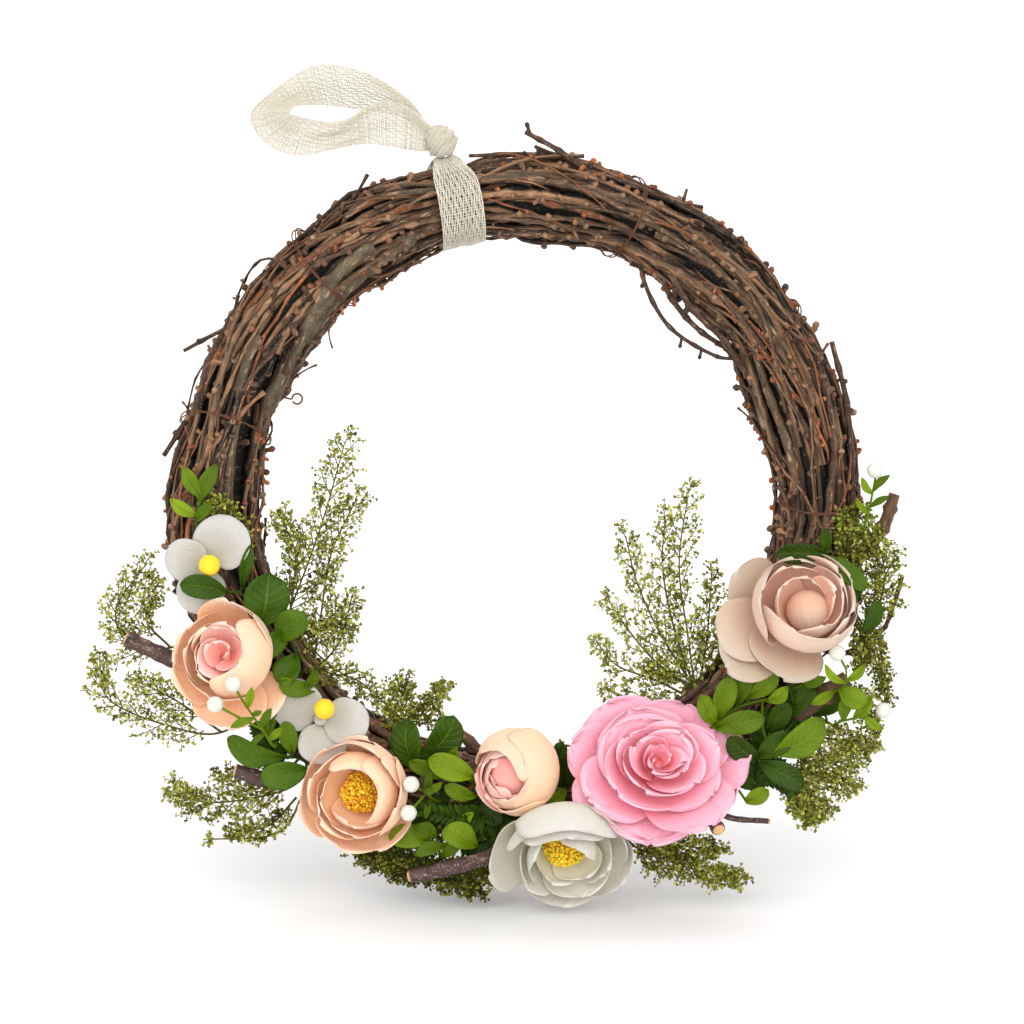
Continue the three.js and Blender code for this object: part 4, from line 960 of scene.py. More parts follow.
make_bloom(
    "peach_rose", [-118.5, -19, -66], [-0.14, -0.95, 0.24], peach, "heart",
    pink_heart, seed=3,
    outer=[
        (-58, 15, 1.2, 0.35, [5.5, -2, 17, -1, 25, 3, 30, 8]),
        (272, 17, 1.2, 0.3, [5.5, -1, 17, 1, 26, 7, 30, 14]),
        (196, 18, 1.8, 0.1, [5.5, -1, 16, 2, 22, 9, 21.5, 16]),
        (150, 16, 1.2, 0.2, [5.5, 0, 15, 3, 20, 10, 19, 17]),
        (84, 16, 1, 0.75, [5.3, 0, 14, 4, 19.5, 12, 21.5, 22]),
        (48, 15, 0.5, 0.1, [5.3, 0, 16, 3, 21, 11, 20, 21]),
        (250, 17, 0.8, 0.3, [5.2, 1, 13, 4, 18.5, 12, 18, 19]),
        (170, 16, 0.9, 0.55, [5, 1, 12, 5, 16, 13, 14.5, 22]),
        (-24, 24, -0.4, 0, [5.2, 0, 15, 4, 19.5, 13, 15.5, 22, 9.5, 25], 1, 360, 0, 0.2),
        (112, 14, 0.9, 0.5, [4.6, 2, 9, 7, 12.5, 15, 10.5, 24]),
        (214, 15, 0.3, 0.7, [4.4, 2, 8.5, 6, 12.5, 14, 12, 22])],
    inner=[
        (75, 15, 0, 0, [2, 9, 6, 13, 9.4, 18, 12, 24]),
        (212, 14, 0, 0.1, [2, 9.5, 5.4, 13.5, 8.4, 18, 11, 22.5]),
        (-25, 12, 0, 0.05, [1.8, 10, 4.8, 14, 7.2, 18, 8.8, 22]),
        (140, 10, 0, 0.3, [1.6, 11, 3.8, 14.5, 5.6, 18, 6.2, 22]),
        (20, 6, 0, 0.8, [0.8, 12, 2, 15, 3, 18, 3.2, 21.5])])

make_bloom(
    "peach_ranunculus", [-62, -20, -122], [-0.2, -0.97, 0.06], peach, "stamens",
    stamen_finish, seed=5,
    outer=[
        (75, 18, 0.8, 0.2, [5.5, -1, 15, 1, 21, 7, 22, 13]),
        (290, 18, 0.8, 0.1, [5.5, -1, 16, 1, 23, 7, 25, 14]),
        (128, 17, 0.9, 0.3, [5.5, 0, 16, 3, 23, 10, 23.5, 18], 3, 190, 1),
        (-10, 20, 0.5, 0.05, [5.2, 1, 15, 4, 21, 12, 19, 21], 2, 130),
        (150, 15, 0.4, 0.75, [5, 1, 13, 4, 18.5, 12, 18, 19], 3, 190, 1),
        (5, 18, -0.3, 0.25, [5, 2, 12, 5, 17, 12, 14, 22, 11, 23], 2, 120),
        (185, 15, 0, 0.95, [4.8, 2, 10, 5, 15, 12, 14.5, 19]),
        (262, 14, -0.4, 0.5, [4.8, 2, 10, 5, 15, 12, 13, 20])],
    grains=(210, 8, 15, (0.65, 1.2), (0, 0.9)))

make_bloom(
    "peach_bud", [9.3, -22, -114], [-0.6, -0.8, 0.1], peach, "heart", pink_heart,
    seed=8, base=7,
    outer=[
        (184, 17, 0.3, 0.3, [5.5, 0, 13, 3, 17.6, 9, 18, 15]),
        (262, 21, 0.3, 0.15, [5.5, 0, 13.5, 3, 17.8, 12, 15, 20]),
        (300, 21, -0.2, 0.05, [5.3, 0, 12.8, 3, 17, 12, 12, 24]),
        (100, 22, 0.2, 0, [5.3, 0, 12.8, 3, 17, 12, 12, 25]),
        (8, 23, -0.3, 0, [5.5, 0, 15.5, 2.5, 19, 11, 16, 20, 13, 22.5], 1, 360, 0, 0.2),
        (66, 20, 0.5, 0, [5.6, 0, 14.2, 3, 18.6, 12, 14.5, 22, 9, 26])],
    inner=[
        (195, 18, 0, 0.5, [3, 2, 12.8, 4, 16.8, 10, 16.8, 18]),
        (178, 16, 0, 0.7, [3, 2, 12, 4, 15.4, 11, 14.6, 20]),
        (222, 16, 0, 0.3, [3, 2, 11.6, 4, 14.4, 11, 13, 20.5]),
        (140, 18, 0, 0, [3, 2, 11.6, 4, 14.8, 12, 12, 20, 8, 23.5]),
        (246, 16, 0, 0.5, [3, 2, 11.4, 4, 14.4, 12, 12, 19, 9, 22]),
        (200, 13, 0, 0.5, [3, 3, 10.6, 5, 13.2, 12, 11.4, 19, 5.5, 24.6]),
        (246, 11, 0, 0.1, [3, 3, 10.4, 5, 12.8, 12, 11, 19, 5, 24]),
        (160, 10, 0, 0.2, [3, 3, 10.2, 5, 12.6, 12, 10.8, 19, 4.5, 24])],
    ball=((0, 0, 12.6), 10.8, 0.5))

make_bloom(
    "pink_rose", [60, -28, -112], [0.16, -0.9, 0.36], pink, "centre", pink,
    seed=11, flatten=0.84,
    outer=[
        (14, 20, 1.2, 0, [5.5, -1, 21, 0, 33, 4, 40, 4], 7, 360, 1, 2.1, 0.045, [21, 17]),
        (40, 21, 1.4, 0.15, [5.3, 1, 18, 4, 28, 9, 33.5, 10], 5, 360, 2.2, 2.1, 0.05, [21, 17]),
        (20, 20, 1.4, 0.35, [5, 2, 13, 6, 21, 13, 26.5, 16], 3, 200, 1.8, 1.4, 0.04),
        (-38, 22, 1.6, 0.2, [5, 2, 14, 6, 22, 12, 28, 14], 1, 360, 0, 1.2, 0.03),
        (220, 28, 1.5, 0.45, [4.8, 3, 14, 7, 21, 14, 26, 22], 1, 360, 0, 0.8, 0.05),
        (238, 25, 1.2, 0.55, [4.6, 4, 11, 9, 16.5, 17, 18.5, 26], 1, 360, 0, 0.7, 0.05),
        (60, 17, 1, 0.5, [4.8, 3, 11, 8, 16, 15, 19, 19], 2, 120, 1.2, 1, 0.04),
        (-42, 17, 1.6, 0.4, [4.6, 4, 10, 9, 15, 16, 18, 21], 1, 360, 0, 0.8, 0.04)],
    inner=[
        (150, 15, 0.8, 0.6, [2, 6, 6.5, 11, 10.5, 18, 13.5, 25], 1, 360, 0, 0.6, 0.08),
        (50, 15, 1, 0.55, [2, 6, 6.5, 11, 11, 17.5, 14.5, 23], 1, 360, 0, 0.7, 0.07),
        (-40, 12, 1, 0.5, [2, 7, 5.6, 11, 8.6, 17, 10.6, 22], 1, 360, 0, 0.5, 0.07),
        (100, 9, 0.5, 0.8, [1.6, 8, 4.2, 12, 6.6, 17, 8, 22], 3, 360, 1.4, 0.5, 0.08),
        (20, 5, 0, 1, [1, 9, 2.4, 12, 3.8, 15, 4.4, 18], 2)])

make_bloom(
    "white_ranunculus", [22, -26, -140], [0.1, -0.84, -0.5], white, "stamens",
    stamen_finish, seed=14,
    outer=[
        (196, 19, 0.8, 0.55, [5.5, -1, 19, 0, 29, 6, 33, 14]),
        (88, 26, 0.4, 0.32, [5.5, 0, 18, 3, 26, 10, 25, 17, 21, 22.5]),
        (130, 19, 0.6, 0.32, [5.5, 0, 17, 3, 24, 11, 23, 20]),
        (30, 20, 0.6, 0.55, [5.5, 0, 17, 3, 25, 11, 26, 19]),
        (330, 17, 0.6, 0.55, [5.4, 0, 17, 3, 26, 10, 27, 18]),
        (268, 19, 0.6, 0.56, [5.4, 0, 17, 2, 25, 8, 27, 15]),
        (95, 22, 0.5, 0.56, [5.1, 1, 15, 5, 21, 13, 17, 23]),
        (215, 16, 0.3, 0.7, [5.1, 1, 14, 4, 20, 11, 20.5, 18], 2, 150),
        (345, 14, 0.3, 0.7, [5, 1.5, 13, 5, 18, 12, 17, 20]),
        (180, 15, 0.3, 0.55, [5, 1.5, 12, 5, 16.5, 12, 15.5, 20]),
        (60, 13, 0.3, 0.7, [4.8, 2, 11, 6, 14, 13, 11, 24]),
        (240, 13, 0, 0.9, [4.8, 2, 10, 5, 14, 11, 13.5, 16], 2, 130)],
    grains=(190, 8.6, 15, (0.65, 1.25), (0.4, 1)))

make_bloom(
    "blush_ranunculus", [120.5, -22, -47], [0.2, -0.86, 0.44], blush, "heart", blush,
    seed=17, base=7,
    outer=[
        (214, 14, 1, 0, [5.5, -3, 19, -3, 31, 0, 41, 3]),
        (142, 15, 1, 0, [5.5, -2, 17, -2, 26, 2, 31, 5]),
        (196, 15, 1.2, 0.1, [5.5, -1, 18, 0, 29, 4, 38, 5]),
        (247, 19, 1.2, 0.05, [5.5, -1, 17, -1, 25, 2, 30, 4]),
        (95, 18, 0.6, 0.4, [5.3, 0, 15, 3, 20.5, 11, 19, 17]),
        (20, 20, 0.4, 0.35, [5.3, 0, 16, 3, 23, 12, 21.5, 19]),
        (-50, 20, 0.4, 0.3, [5.3, 0, 15.5, 3, 22, 12, 20, 20]),
        (170, 20, 0.5, 0.35, [5.3, 0, 15.5, 3, 22, 12, 20, 20]),
        (35, 18, 0.1, 0.55, [5, 1, 14, 4, 20, 12, 18.5, 20.5], 2, -120),
        (245, 24, 0.3, 0.4, [5.1, 1, 14.5, 5, 20.5, 13, 17, 22]),
        (110, 17, 0.4, 0.7, [4.8, 1, 13, 5, 17.5, 12, 16, 18]),
        (15, 16, 0.1, 0.7, [4.6, 2, 12, 6, 17, 13, 15.8, 21]),
        (-60, 16, 0, 0.6, [4.6, 2, 11, 6, 15.5, 13, 14, 21])],
    inner=[
        (150, 13, 0, 0.75, [3, 3, 7.5, 7, 12, 13, 12, 20]),
        (75, 12, 0, 0.55, [3, 3, 7.5, 7, 11.5, 13, 8.5, 21]),
        (10, 12, 0, 0.9, [3, 3, 7.5, 7, 12.5, 13, 12.5, 19])],
    ball=((2, -1.5, 10.5), 8.8, 0.3))

make_bloom(
    "white_blossom_left", [-127, -24, -25], [0, -1, 0.05], white, "ball",
    stamen_finish, seed=20, base=3,
    outer=[
        (248, 11, 0.6, 0, [2.5, -1, 9, 0, 15, 2, 22, 1]),
        (168, 10, 0.6, 0, [2.5, 0, 8, 1.5, 14, 4, 19.5, 4]),
        (62, 14, 0.8, 0, [2.5, 0, 9, 3, 16, 6, 22.5, 6])],
    ball=((0, 0, 8), 4.5, 0.7))
make_bloom(
    "white_blossom_low", [-81, -22, -91], [-0.05, -1, 0.1], white, "ball",
    stamen_finish, seed=23, base=3,
    outer=[
        (-5, 11, 0.8, 0, [2.5, 0, 9, 1.5, 15, 4, 21, 4]),
        (278, 12, 0.8, 0, [2.5, 0, 9, 2, 15, 4, 19, 4]),
        (148, 12, 0.8, 0, [2.5, 0, 9, 2, 16, 5, 23, 5])],
    ball=((2.5, 4.5, 9), 4.4, 0.7))


# Leaves

def leaf_width(part, blunt):
    """A leaf's half width along it: narrow at the stalk, fullest past the middle, then a short
    point, or a round tip where blunt."""
    rising = 0.1 + 0.9 * np.sin(np.pi / 2 * np.minimum(1, part / 0.56)) ** 0.9
    beyond = np.clip((part - 0.56) / 0.44, 0, 0.995)
    return rising * (1 - beyond ** (2.4 if blunt else 1.9)) ** (0.5 if blunt else 0.85)


LEAF_THICKNESS = 0.4
BROAD_LEAF = 3.5
SPRIG_STEM_RADIUS = 0.9


def add_leaf(form, rng, root, tip, half_width, size=(9, 17), shade=(0.1, 0.9)):
    """A blade from root to tip that arches towards the viewer, creased along its rib, with a
    slight wave in its edge. Broad leaves have round tips."""
    along = tip - root
    side = unit(np.cross(FRONT, along))
    out = unit(np.cross(along, side))
    side = unit(side + out * rng.normal(0, 0.28))
    out = unit(np.cross(along, side))
    across = np.linspace(-1, 1, size[0])[:, None, None]
    part = np.linspace(0, 1, size[1])[None, :, None]
    phase = rng.uniform(0, 6.28)
    swing = 0.05 * np.linalg.norm(along) * rng.normal() * np.sin(np.pi * part)
    wave = 0.06 * np.sin(9 * part + 3 * across + phase)
    crease = np.abs(across) ** 1.4 * (1 - 0.5 * part)
    lift = 0.3 * np.sin(np.pi * part) + 0.3 * crease + wave
    width = half_width * leaf_width(part, half_width > BROAD_LEAF)
    surface = root + along * part + side * (across * width + swing) + out * lift * half_width
    add_blade(form, surface, LEAF_THICKNESS, rng.uniform(*shade))


def add_stem(form, points, radius, tint=0.4):
    """A stem that tapers from among the twigs through the points. Gives its line."""
    line = smooth_path([root_below(points[0]), *points], 6 * len(points))
    add_tubes(form, line, radius * np.linspace(1.1, 0.6, len(line)), 6, tint)
    return line


leaf_finishes = {
    "dark_leaf": leaf_finish(
        "dark leaf", [(0, 26, 46, 1), (0.5, 56, 86, 4), (1, 100, 126, 10)], paint(144, 164, 60)),
    "light_leaf": leaf_finish(
        "light leaf", [(0, 56, 80, 1), (0.5, 90, 116, 5), (1, 138, 160, 20)], paint(172, 188, 70))}

# Each sprig's finish, seed and range of tints, its stem's points, and a row for each leaf: where
# it starts, where it ends and its half width

SPRIGS = {
    "shoots_left": ("light_leaf", 31, (0.1, 0.9),
        [-132, -19, -14, -133, -24, -6, -131, -26, 4], [
        (-131, -26, 4, -138, -28, 17, 3.3), (-132, -25, 2, -124, -28, 18, 3.4),
        (-133, -24, -4, -144, -27, 3, 3), (-133, -24, -7, -126, -29, 2, 2.4)]),
    "sprig_left": ("dark_leaf", 32, (0.1, 0.9),
        [-98, -17, -54, -101, -22, -50, -107, -27, -43, -114, -28, -37, -120, -29, -36], [
        (-106, -25, -50, -102, -31, -28, 9.8), (-99, -25, -57, -86, -31, -46, 6.4),
        (-96, -25, -53, -105, -31, -62, 5.4), (-91, -22, -64, -97, -28, -76, 6),
        (-120, -29, -36, -139, -35, -32, 5.2), (-114, -25, -34, -110, -31, -16, 2.8)]),
    "sprig_left_inner": ("light_leaf", 33, (0.1, 0.9),
        [-86, -16, -70, -84, -22, -76, -88, -25, -78], [
        (-83, -24, -78, -98, -30, -76, 3.8), (-90, -24, -78, -97, -30, -72, 3),
        (-88, -25, -78, -82, -30, -69, 2.6)]),
    "sprig_low_left": ("dark_leaf", 34, (0.1, 0.9),
        [-92, -16, -106, -93, -23, -107, -98, -24, -106], [
        (-97, -24, -107, -120, -30, -98, 5.2), (-93, -24, -105, -96, -30, -91, 4),
        (-87, -25, -112, -106, -31, -115, 6), (-104, -21, -98, -108, -27, -84, 3),
        (-105, -20, -100, -100, -26, -85, 2.6)]),
    "sprig_centre_dark": ("dark_leaf", 35, (0, 0.35),
        [-36, -14, -116, -36, -19, -112, -37, -21, -108], [
        (-41, -21, -112, -44, -27, -90, 6.8), (-37, -21, -107, -24, -27, -89, 7.6),
        (-23, -19, -110, -40, -25, -104, 4.4), (-5, -17, -133, -19, -23, -142, 5),
        (-18, -17, -126, -4, -23, -136, 4.5), (20, -16, -124, 17, -22, -103, 3)]),
    "sprig_centre_light": ("light_leaf", 36, (0.1, 0.9),
        [-14, -18, -122, -18, -23, -117, -28, -25, -113], [
        (-28, -24, -115, -43, -30, -108, 3.8), (-16, -26, -115, -35, -32, -107, 5.6),
        (-15, -24, -124, -28, -30, -118, 3.6), (-25, -24, -112, -23, -30, -102, 2.6),
        (23, -22, -121, 15, -28, -128, 3.2)]),
    "sprig_low_light": ("light_leaf", 37, (0.1, 0.9),
        [-12, -17, -141, -17, -24, -144, -28, -25, -144, -35, -25, -143], [
        (-35, -25, -143, -52, -31, -140, 5.2), (-32, -27, -141, -41, -33, -135, 2.8),
        (-15, -25, -145, -29, -31, -137, 5.6), (-28, -25, -145, -41, -31, -148, 3),
        (-30, -22, -150, -21, -28, -144, 2.6), (-24, -22, -137, -16, -28, -130, 2.6)]),
    "sprig_right_light": ("light_leaf", 38, (0.1, 0.9),
        [84, -15, -98, 86, -23, -94, 96, -24, -86, 109, -24, -82], [
        (86, -24, -93, 80, -30, -80, 4.2), (88, -24, -90, 93, -30, -72, 4.8),
        (96, -24, -84, 101, -30, -69, 4), (101, -24, -81, 112, -30, -70, 4.4),
        (109, -24, -83, 117, -30, -76, 3.2), (87, -26, -94, 107, -32, -89, 5.2),
        (100, -24, -126, 109, -30, -120, 3.6), (124, -24, -76, 133, -30, -72, 2.8),
        (112, -27, -105, 132, -33, -90, 6.6)]),
    # Painted shade: this sprig's leaves keep to the darkest tints, for the shade they sit in
    "sprig_right_low": ("dark_leaf", 39, (0, 0.5),
        [106, -16, -106, 106, -22, -107, 112, -22, -100], [
        (106, -26, -109, 124, -32, -118, 5.2), (105, -23, -108, 92, -29, -98, 5.2),
        (105, -23, -107, 119, -29, -97, 5), (118, -19, -92, 129, -25, -77, 5),
        (123, -18, -88, 119, -24, -74, 4.4), (132, -17, -90, 142, -23, -80, 4),
        (110, -18, -96, 118, -24, -84, 4.5)]),
    "sprig_right_top": ("dark_leaf", 40, (0.1, 0.9),
        [134, -15, -24, 134, -20, -20, 134, -22, -19], [
        (133, -22, -20, 112, -28, -20, 4.8), (133, -22, -19, 133, -28, -9, 2.8),
        (134, -22, -22, 150, -28, -35, 4.2), (150, -22, -54, 155, -28, -40, 3.6),
        (148, -19, -41, 143, -25, -27, 3)]),
}


def make_sprigs():
    """A stem out of the twigs with leaves. A short stalk joins each leaf's root to the nearest
    place on the stem."""
    for name, (slot, seed, shade, stem, leaves) in SPRIGS.items():
        rng = np.random.default_rng(seed)
        form = Form()
        line = add_stem(form, in_threes(stem), SPRIG_STEM_RADIUS)
        for *ends, half_width in leaves:
            root, tip = in_threes(ends)
            start = line[np.linalg.norm(line - root, axis=1).argmin()]
            if np.linalg.norm(root - start) > 0.5:
                middle = (start + root) / 2 - 0.12 * (tip - root)
                add_tubes(form, smooth_path([start, middle, root], 7), 0.6, 5, 0.4)
            add_leaf(form, rng, root, tip, half_width, shade=shade)
        make_piece(f"{name}_leaves", form, leaf_finishes[slot], [name])


make_sprigs()

FERN = [-8, -17, -131, -15, -25, -133, -28, -28, -131, -43, -29, -127]

# Stems of the feathery dark green that fills the gaps between the blooms
FILLING = [
    [-12, -14, -126, -30, -18, -130, -43, -20, -135], [4, -15, -145, -9, -19, -143, -22, -20, -146],
    [-5, -14, -128, -16, -18, -135, -28, -20, -138], [20, -14, -126, 20, -18, -113, 18, -20, -103],
    [-98, -14, -104, -106, -18, -92, -108, -20, -82],
    [-94, -14, -112, -102, -19, -106, -105, -21, -96],
    [110, -12, -112, 109, -17, -99, 111, -19, -86], [122, -12, -104, 122, -17, -91, 120, -19, -79],
    [134, -12, -94, 131, -17, -85, 121, -20, -80], [106, -14, -126, 104, -19, -116, 106, -21, -103],
    [98, -14, -111, 112, -19, -114, 122, -20, -122], [-14, -14, -132, -3, -18, -139, 8, -20, -141]]


def make_fern():
    """Fern-like sprigs: pairs of narrow leaflets slant forward along a bare rib."""
    rng = np.random.default_rng(41)
    fern, filling = Form(), Form()
    stems = [(fern, FERN, 8.5, 1.25)] + [(filling, stem, 9.5, 1.7) for stem in FILLING]
    for form, stem, longest, half_width in stems:
        stem = in_threes(stem)
        add_stem(form, stem, 0.6, 0.3)
        line = smooth_path(stem, 101)
        for k in range(12):
            root = line[20 + 6 * k]
            along = unit(line[min(22 + 6 * k, 100)] - line[18 + 6 * k])
            aside = unit(np.cross(FRONT, along))
            for hand in (-1, 1):
                reach = (longest - 0.35 * k) * rng.uniform(0.85, 1.1)
                tip = root + reach * unit(0.75 * along + hand * aside)
                tip = tip + FRONT * rng.uniform(-0.5, 2.5)
                add_leaf(form, rng, root, tip, half_width, size=(3, 6), shade=(0, 0.4))
    dark = leaf_finishes["dark_leaf"]
    make_piece("fern_leaflets", fern, dark, ["fern_sprig"])
    make_piece("filling_greens", filling, dark)


make_fern()


# Berry picks

# Each pick's stem, its leaflets (how far along the stem, tip and half width) and its berries
PICKS = {
    "left": (
        [-99, -18, -100, -100, -34, -101, -104, -47, -92, -110, -48, -83],
        [(0.7, -100, -49, -83, 1.9), (0.85, -117, -48, -91, 1.9), (0.5, -96, -44, -92, 1.7),
         (1, -108, -50, -74, 1.7), (0.9, -104, -50, -84, 1.4), (0.6, -109, -47, -99, 1.5)],
        [-116, -48, -73, -123.5, -48, -81.5]),
    "centre": (
        [-30, -18, -127, -33, -26, -125, -36, -33, -121, -38, -37, -119],
        [(0.6, -34, -34, -112, 1.9), (0.7, -29, -36, -116, 1.7), (0.4, -36, -34, -132, 1.5),
         (0.9, -33, -37, -121, 1.4)],
        [-42, -42, -116, -43, -43, -128]),
    "top": (
        [148, -12, -14, 151, -18, -6, 153, -20, 4, 154, -22, 11],
        [(0.7, 148, -24, 12, 1.7), (0.75, 160, -24, 13, 1.7), (0.5, 160, -22, 4, 1.5),
         (0.4, 146, -22, 2, 1.4)],
        [154, -22, 15]),
    "blush": (
        [131, -14, -84, 136, -22, -80, 141, -31, -75, 141, -36, -68],
        [(0.4, 127, -28, -84, 2.4), (0.75, 149, -37, -66, 2), (0.5, 150, -30, -84, 4.6),
         (0.7, 132, -36, -66, 1.8)],
        [137, -38, -61]),
    "right": (
        [136, -14, -94, 140, -22, -92, 147, -25, -90, 154, -25, -88],
        [(0.4, 145, -27, -79, 3), (0.6, 153, -28, -80, 2.8), (0.8, 157, -27, -95, 2)],
        [158, -25, -87]),
}
BERRY_RADIUS = 3.5


def make_picks():
    """Stems with narrow leaflets, and white berries with soft facets and a dimpled end."""
    rng = np.random.default_rng(51)
    milky = [(0, 192, 200, 182), (0.5, 212, 215, 202), (1, 226, 227, 219)]
    waxy = grainy_finish("white berry", milky, 500, 0.3, 0.0002, Subsurface_Weight=0.2,
                         Subsurface_Scale=0.002, Coat_Weight=0.2)
    polar = np.linspace(0, np.pi, 13)
    profile = np.stack([np.sin(polar), -np.cos(polar)], -1)
    profile[-3:, 1] -= [0, 0.05, 0.2]
    berry_points, berry_faces = turned_shape(profile, 20)
    turn = np.arctan2(berry_points[:, 1], berry_points[:, 0])
    berry = berry_points * (1 + 0.025 * np.cos(6 * turn))[:, None], berry_faces
    for name, (stem, leaves, berries) in PICKS.items():
        form = Form()
        stem = in_threes(stem)
        add_stem(form, stem, 0.75, 0.6)
        line = smooth_path(stem, 101)
        for part, *tip, half_width in leaves:
            add_leaf(form, rng, line[int(part * 100)], np.array(tip), half_width, size=(7, 11))
        for number, place in enumerate(in_threes(berries), 1):
            start = line[100] if number == 1 else line[66]
            middle = (start + place) / 2 + FRONT
            add_tubes(form, smooth_path([start, middle, place], 8), 0.55, 6, 0.7)
            fruit = Form()
            away = unit(place - start) + FRONT
            add_one(fruit, berry, place, away, BERRY_RADIUS, 0.6)
            make_piece(f"berry_fruit_{name}_{number}", fruit, waxy,
                       [f"berry_{name}_{number}"])
        make_piece(f"berry_leaflets_{name}", form, leaf_finishes["light_leaf"],
                   [f"berry_pick_{name}"])


make_picks()


# Sprays

# Each spray's seed and tone, and its stems: how many side branches, how far they reach, the
# stem's points, and how far along it the branches start where that isn't near its root
SPRAYS = {
    "left_tall": (3, 0.12, [
        (24, 16, [-98, -10, -52, -90, -10, -34, -80, -9, -6, -71, -8, 26]),
        (20, 12, [-86, -8, -76, -82, -8, -52, -77, -8, -22, -66, -8, 2], 0.15),
        (10, 9, [-84, -8, -72, -74, -8, -60, -68, -8, -40], 0.2),
        (12, 10, [-94, -10, -44, -92, -12, -22, -98, -12, -6], 0.3),
        (14, 9, [-109, -20, -24, -117, -22, -8, -127, -21, 2]),
        (12, 14, [-98, -10, -52, -86, -10, -56, -72, -8, -50]),
        (14, 9, [-96, -10, -50, -84, -10, -70, -66, -9, -76, -50, -9, -90], 0.3)]),
    "left_arc_high": (5, 0.18, [
        (17, 13, [-146, -8, -62, -164, -8, -60, -169, -9, -45, -156, -9, -26]),
        (10, 10, [-146, -8, -62, -156, -10, -50, -152, -10, -36], 0.2)]),
    "left_arc_low": (7, 0.18, [
        (18, 12, [-124, -12, -98, -148, -11, -95, -172, -12, -84, -176, -12, -68]),
        (12, 11, [-124, -12, -98, -144, -12, -84, -160, -12, -76], 0.2)]),
    "low_left": (9, 0.05, [
        (20, 13, [-92, -13, -120, -110, -14, -126, -130, -14, -128, -142, -14, -124]),
        (10, 9, [-92, -13, -120, -106, -14, -118, -124, -15, -116]),
        (10, 8, [-92, -13, -126, -104, -15, -138, -120, -15, -140]),
        (3, 4, [-88, -13, -122, -100, -15, -141, -132, -15, -144], 0.5)]),
    "centre_left": (11, 0.05, [
        (14, 12, [-46, -9, -104, -47, -9, -92, -47, -9, -78]),
        (12, 10, [-46, -9, -95, -38, -9, -90, -30, -9, -80])]),
    "right_tall": (13, 0.16, [
        (18, 13, [80, -9, -84, 76, -8, -58, 72, -8, -26, 76, -8, 6]),
        (14, 11, [79, -9, -80, 70, -8, -54, 65, -7, -28, 66, -7, -6]),
        (14, 11, [78, -9, -78, 64, -8, -56, 54, -7, -34, 49, -7, -14]),
        (10, 9, [78, -9, -80, 62, -8, -68, 50, -8, -54, 42, -8, -42]),
        (10, 9, [78, -9, -84, 62, -8, -76, 46, -8, -70, 37, -8, -60]),
        (12, 9, [86, -8, -92, 74, -8, -74, 60, -8, -72]),
        (9, 8, [76, -8, -86, 58, -8, -86, 41, -8, -80]),
        (12, 9, [82, -9, -82, 90, -8, -62, 97, -8, -38], 0.2),
        (12, 9, [80, -9, -82, 84, -8, -58, 86, -8, -30], 0.2)]),
    "right_outer": (17, -0.05, [
        (24, 12, [148, -12, -52, 158, -13, -40, 158, -14, -22, 148, -14, -4]),
        (16, 11, [148, -13, -50, 146, -16, -30, 142, -16, -8]),
        (16, 7, [148, -12, -48, 156, -13, -62, 160, -13, -84], 0.1),
        (10, 7, [144, -12, -46, 150, -16, -58, 149, -18, -68], 0.1)]),
    "right_cluster": (19, 0.1, [
        (18, 13, [118, -16, -112, 130, -20, -112, 146, -22, -108]),
        (12, 10, [118, -16, -112, 124, -16, -124, 134, -17, -131]),
        (12, 9, [118, -16, -112, 132, -18, -118, 146, -18, -120]),
        (15, 9, [122, -14, -100, 138, -18, -100, 153, -18, -103]),
        (12, 8, [112, -14, -116, 122, -18, -126, 128, -18, -134]),
        (10, 8, [140, -12, -78, 150, -16, -84, 155, -16, -96])]),
    "low_moss_left": (21, -0.32, [
        (32, 9, [-70, -14, -140, -58, -16, -150, -34, -18, -158, -8, -18, -160]),
        (30, 9, [-78, -14, -132, -62, -18, -144, -36, -20, -152, -12, -20, -156]),
        (18, 7, [-74, -12, -136, -60, -14, -150, -44, -16, -161]),
        (18, 6, [-60, -12, -144, -36, -14, -160, -14, -16, -166]),
        (14, 9, [-52, -16, -134, -34, -18, -140, -6, -18, -138])]),
    "low_moss_right": (23, 0, [
        (30, 10, [50, -14, -144, 62, -15, -151, 80, -16, -157, 96, -16, -160]),
        (20, 9, [46, -14, -138, 66, -17, -145, 88, -17, -148])]),
}
FLORET = turned_shape([(0, -1), (1, 0.4), (0, 0)], 5)


FULLNESS = 1.25
TWIGLETS = 8
BRANCH_KNOTS = 5
STEM_STEPS = 60
CURVE_STEPS = 200
STEM_TINT = 0.12
MOSSY_TONE = 0.11
# How far along a twiglet its florets sit, and how far they stray from it. The last ones are only
# on the mossy sprays
FLORET_PLACES = [(1.0, 0.25), (0.72, 0.95), (0.42, 0.95), (0.1, 0.7)]


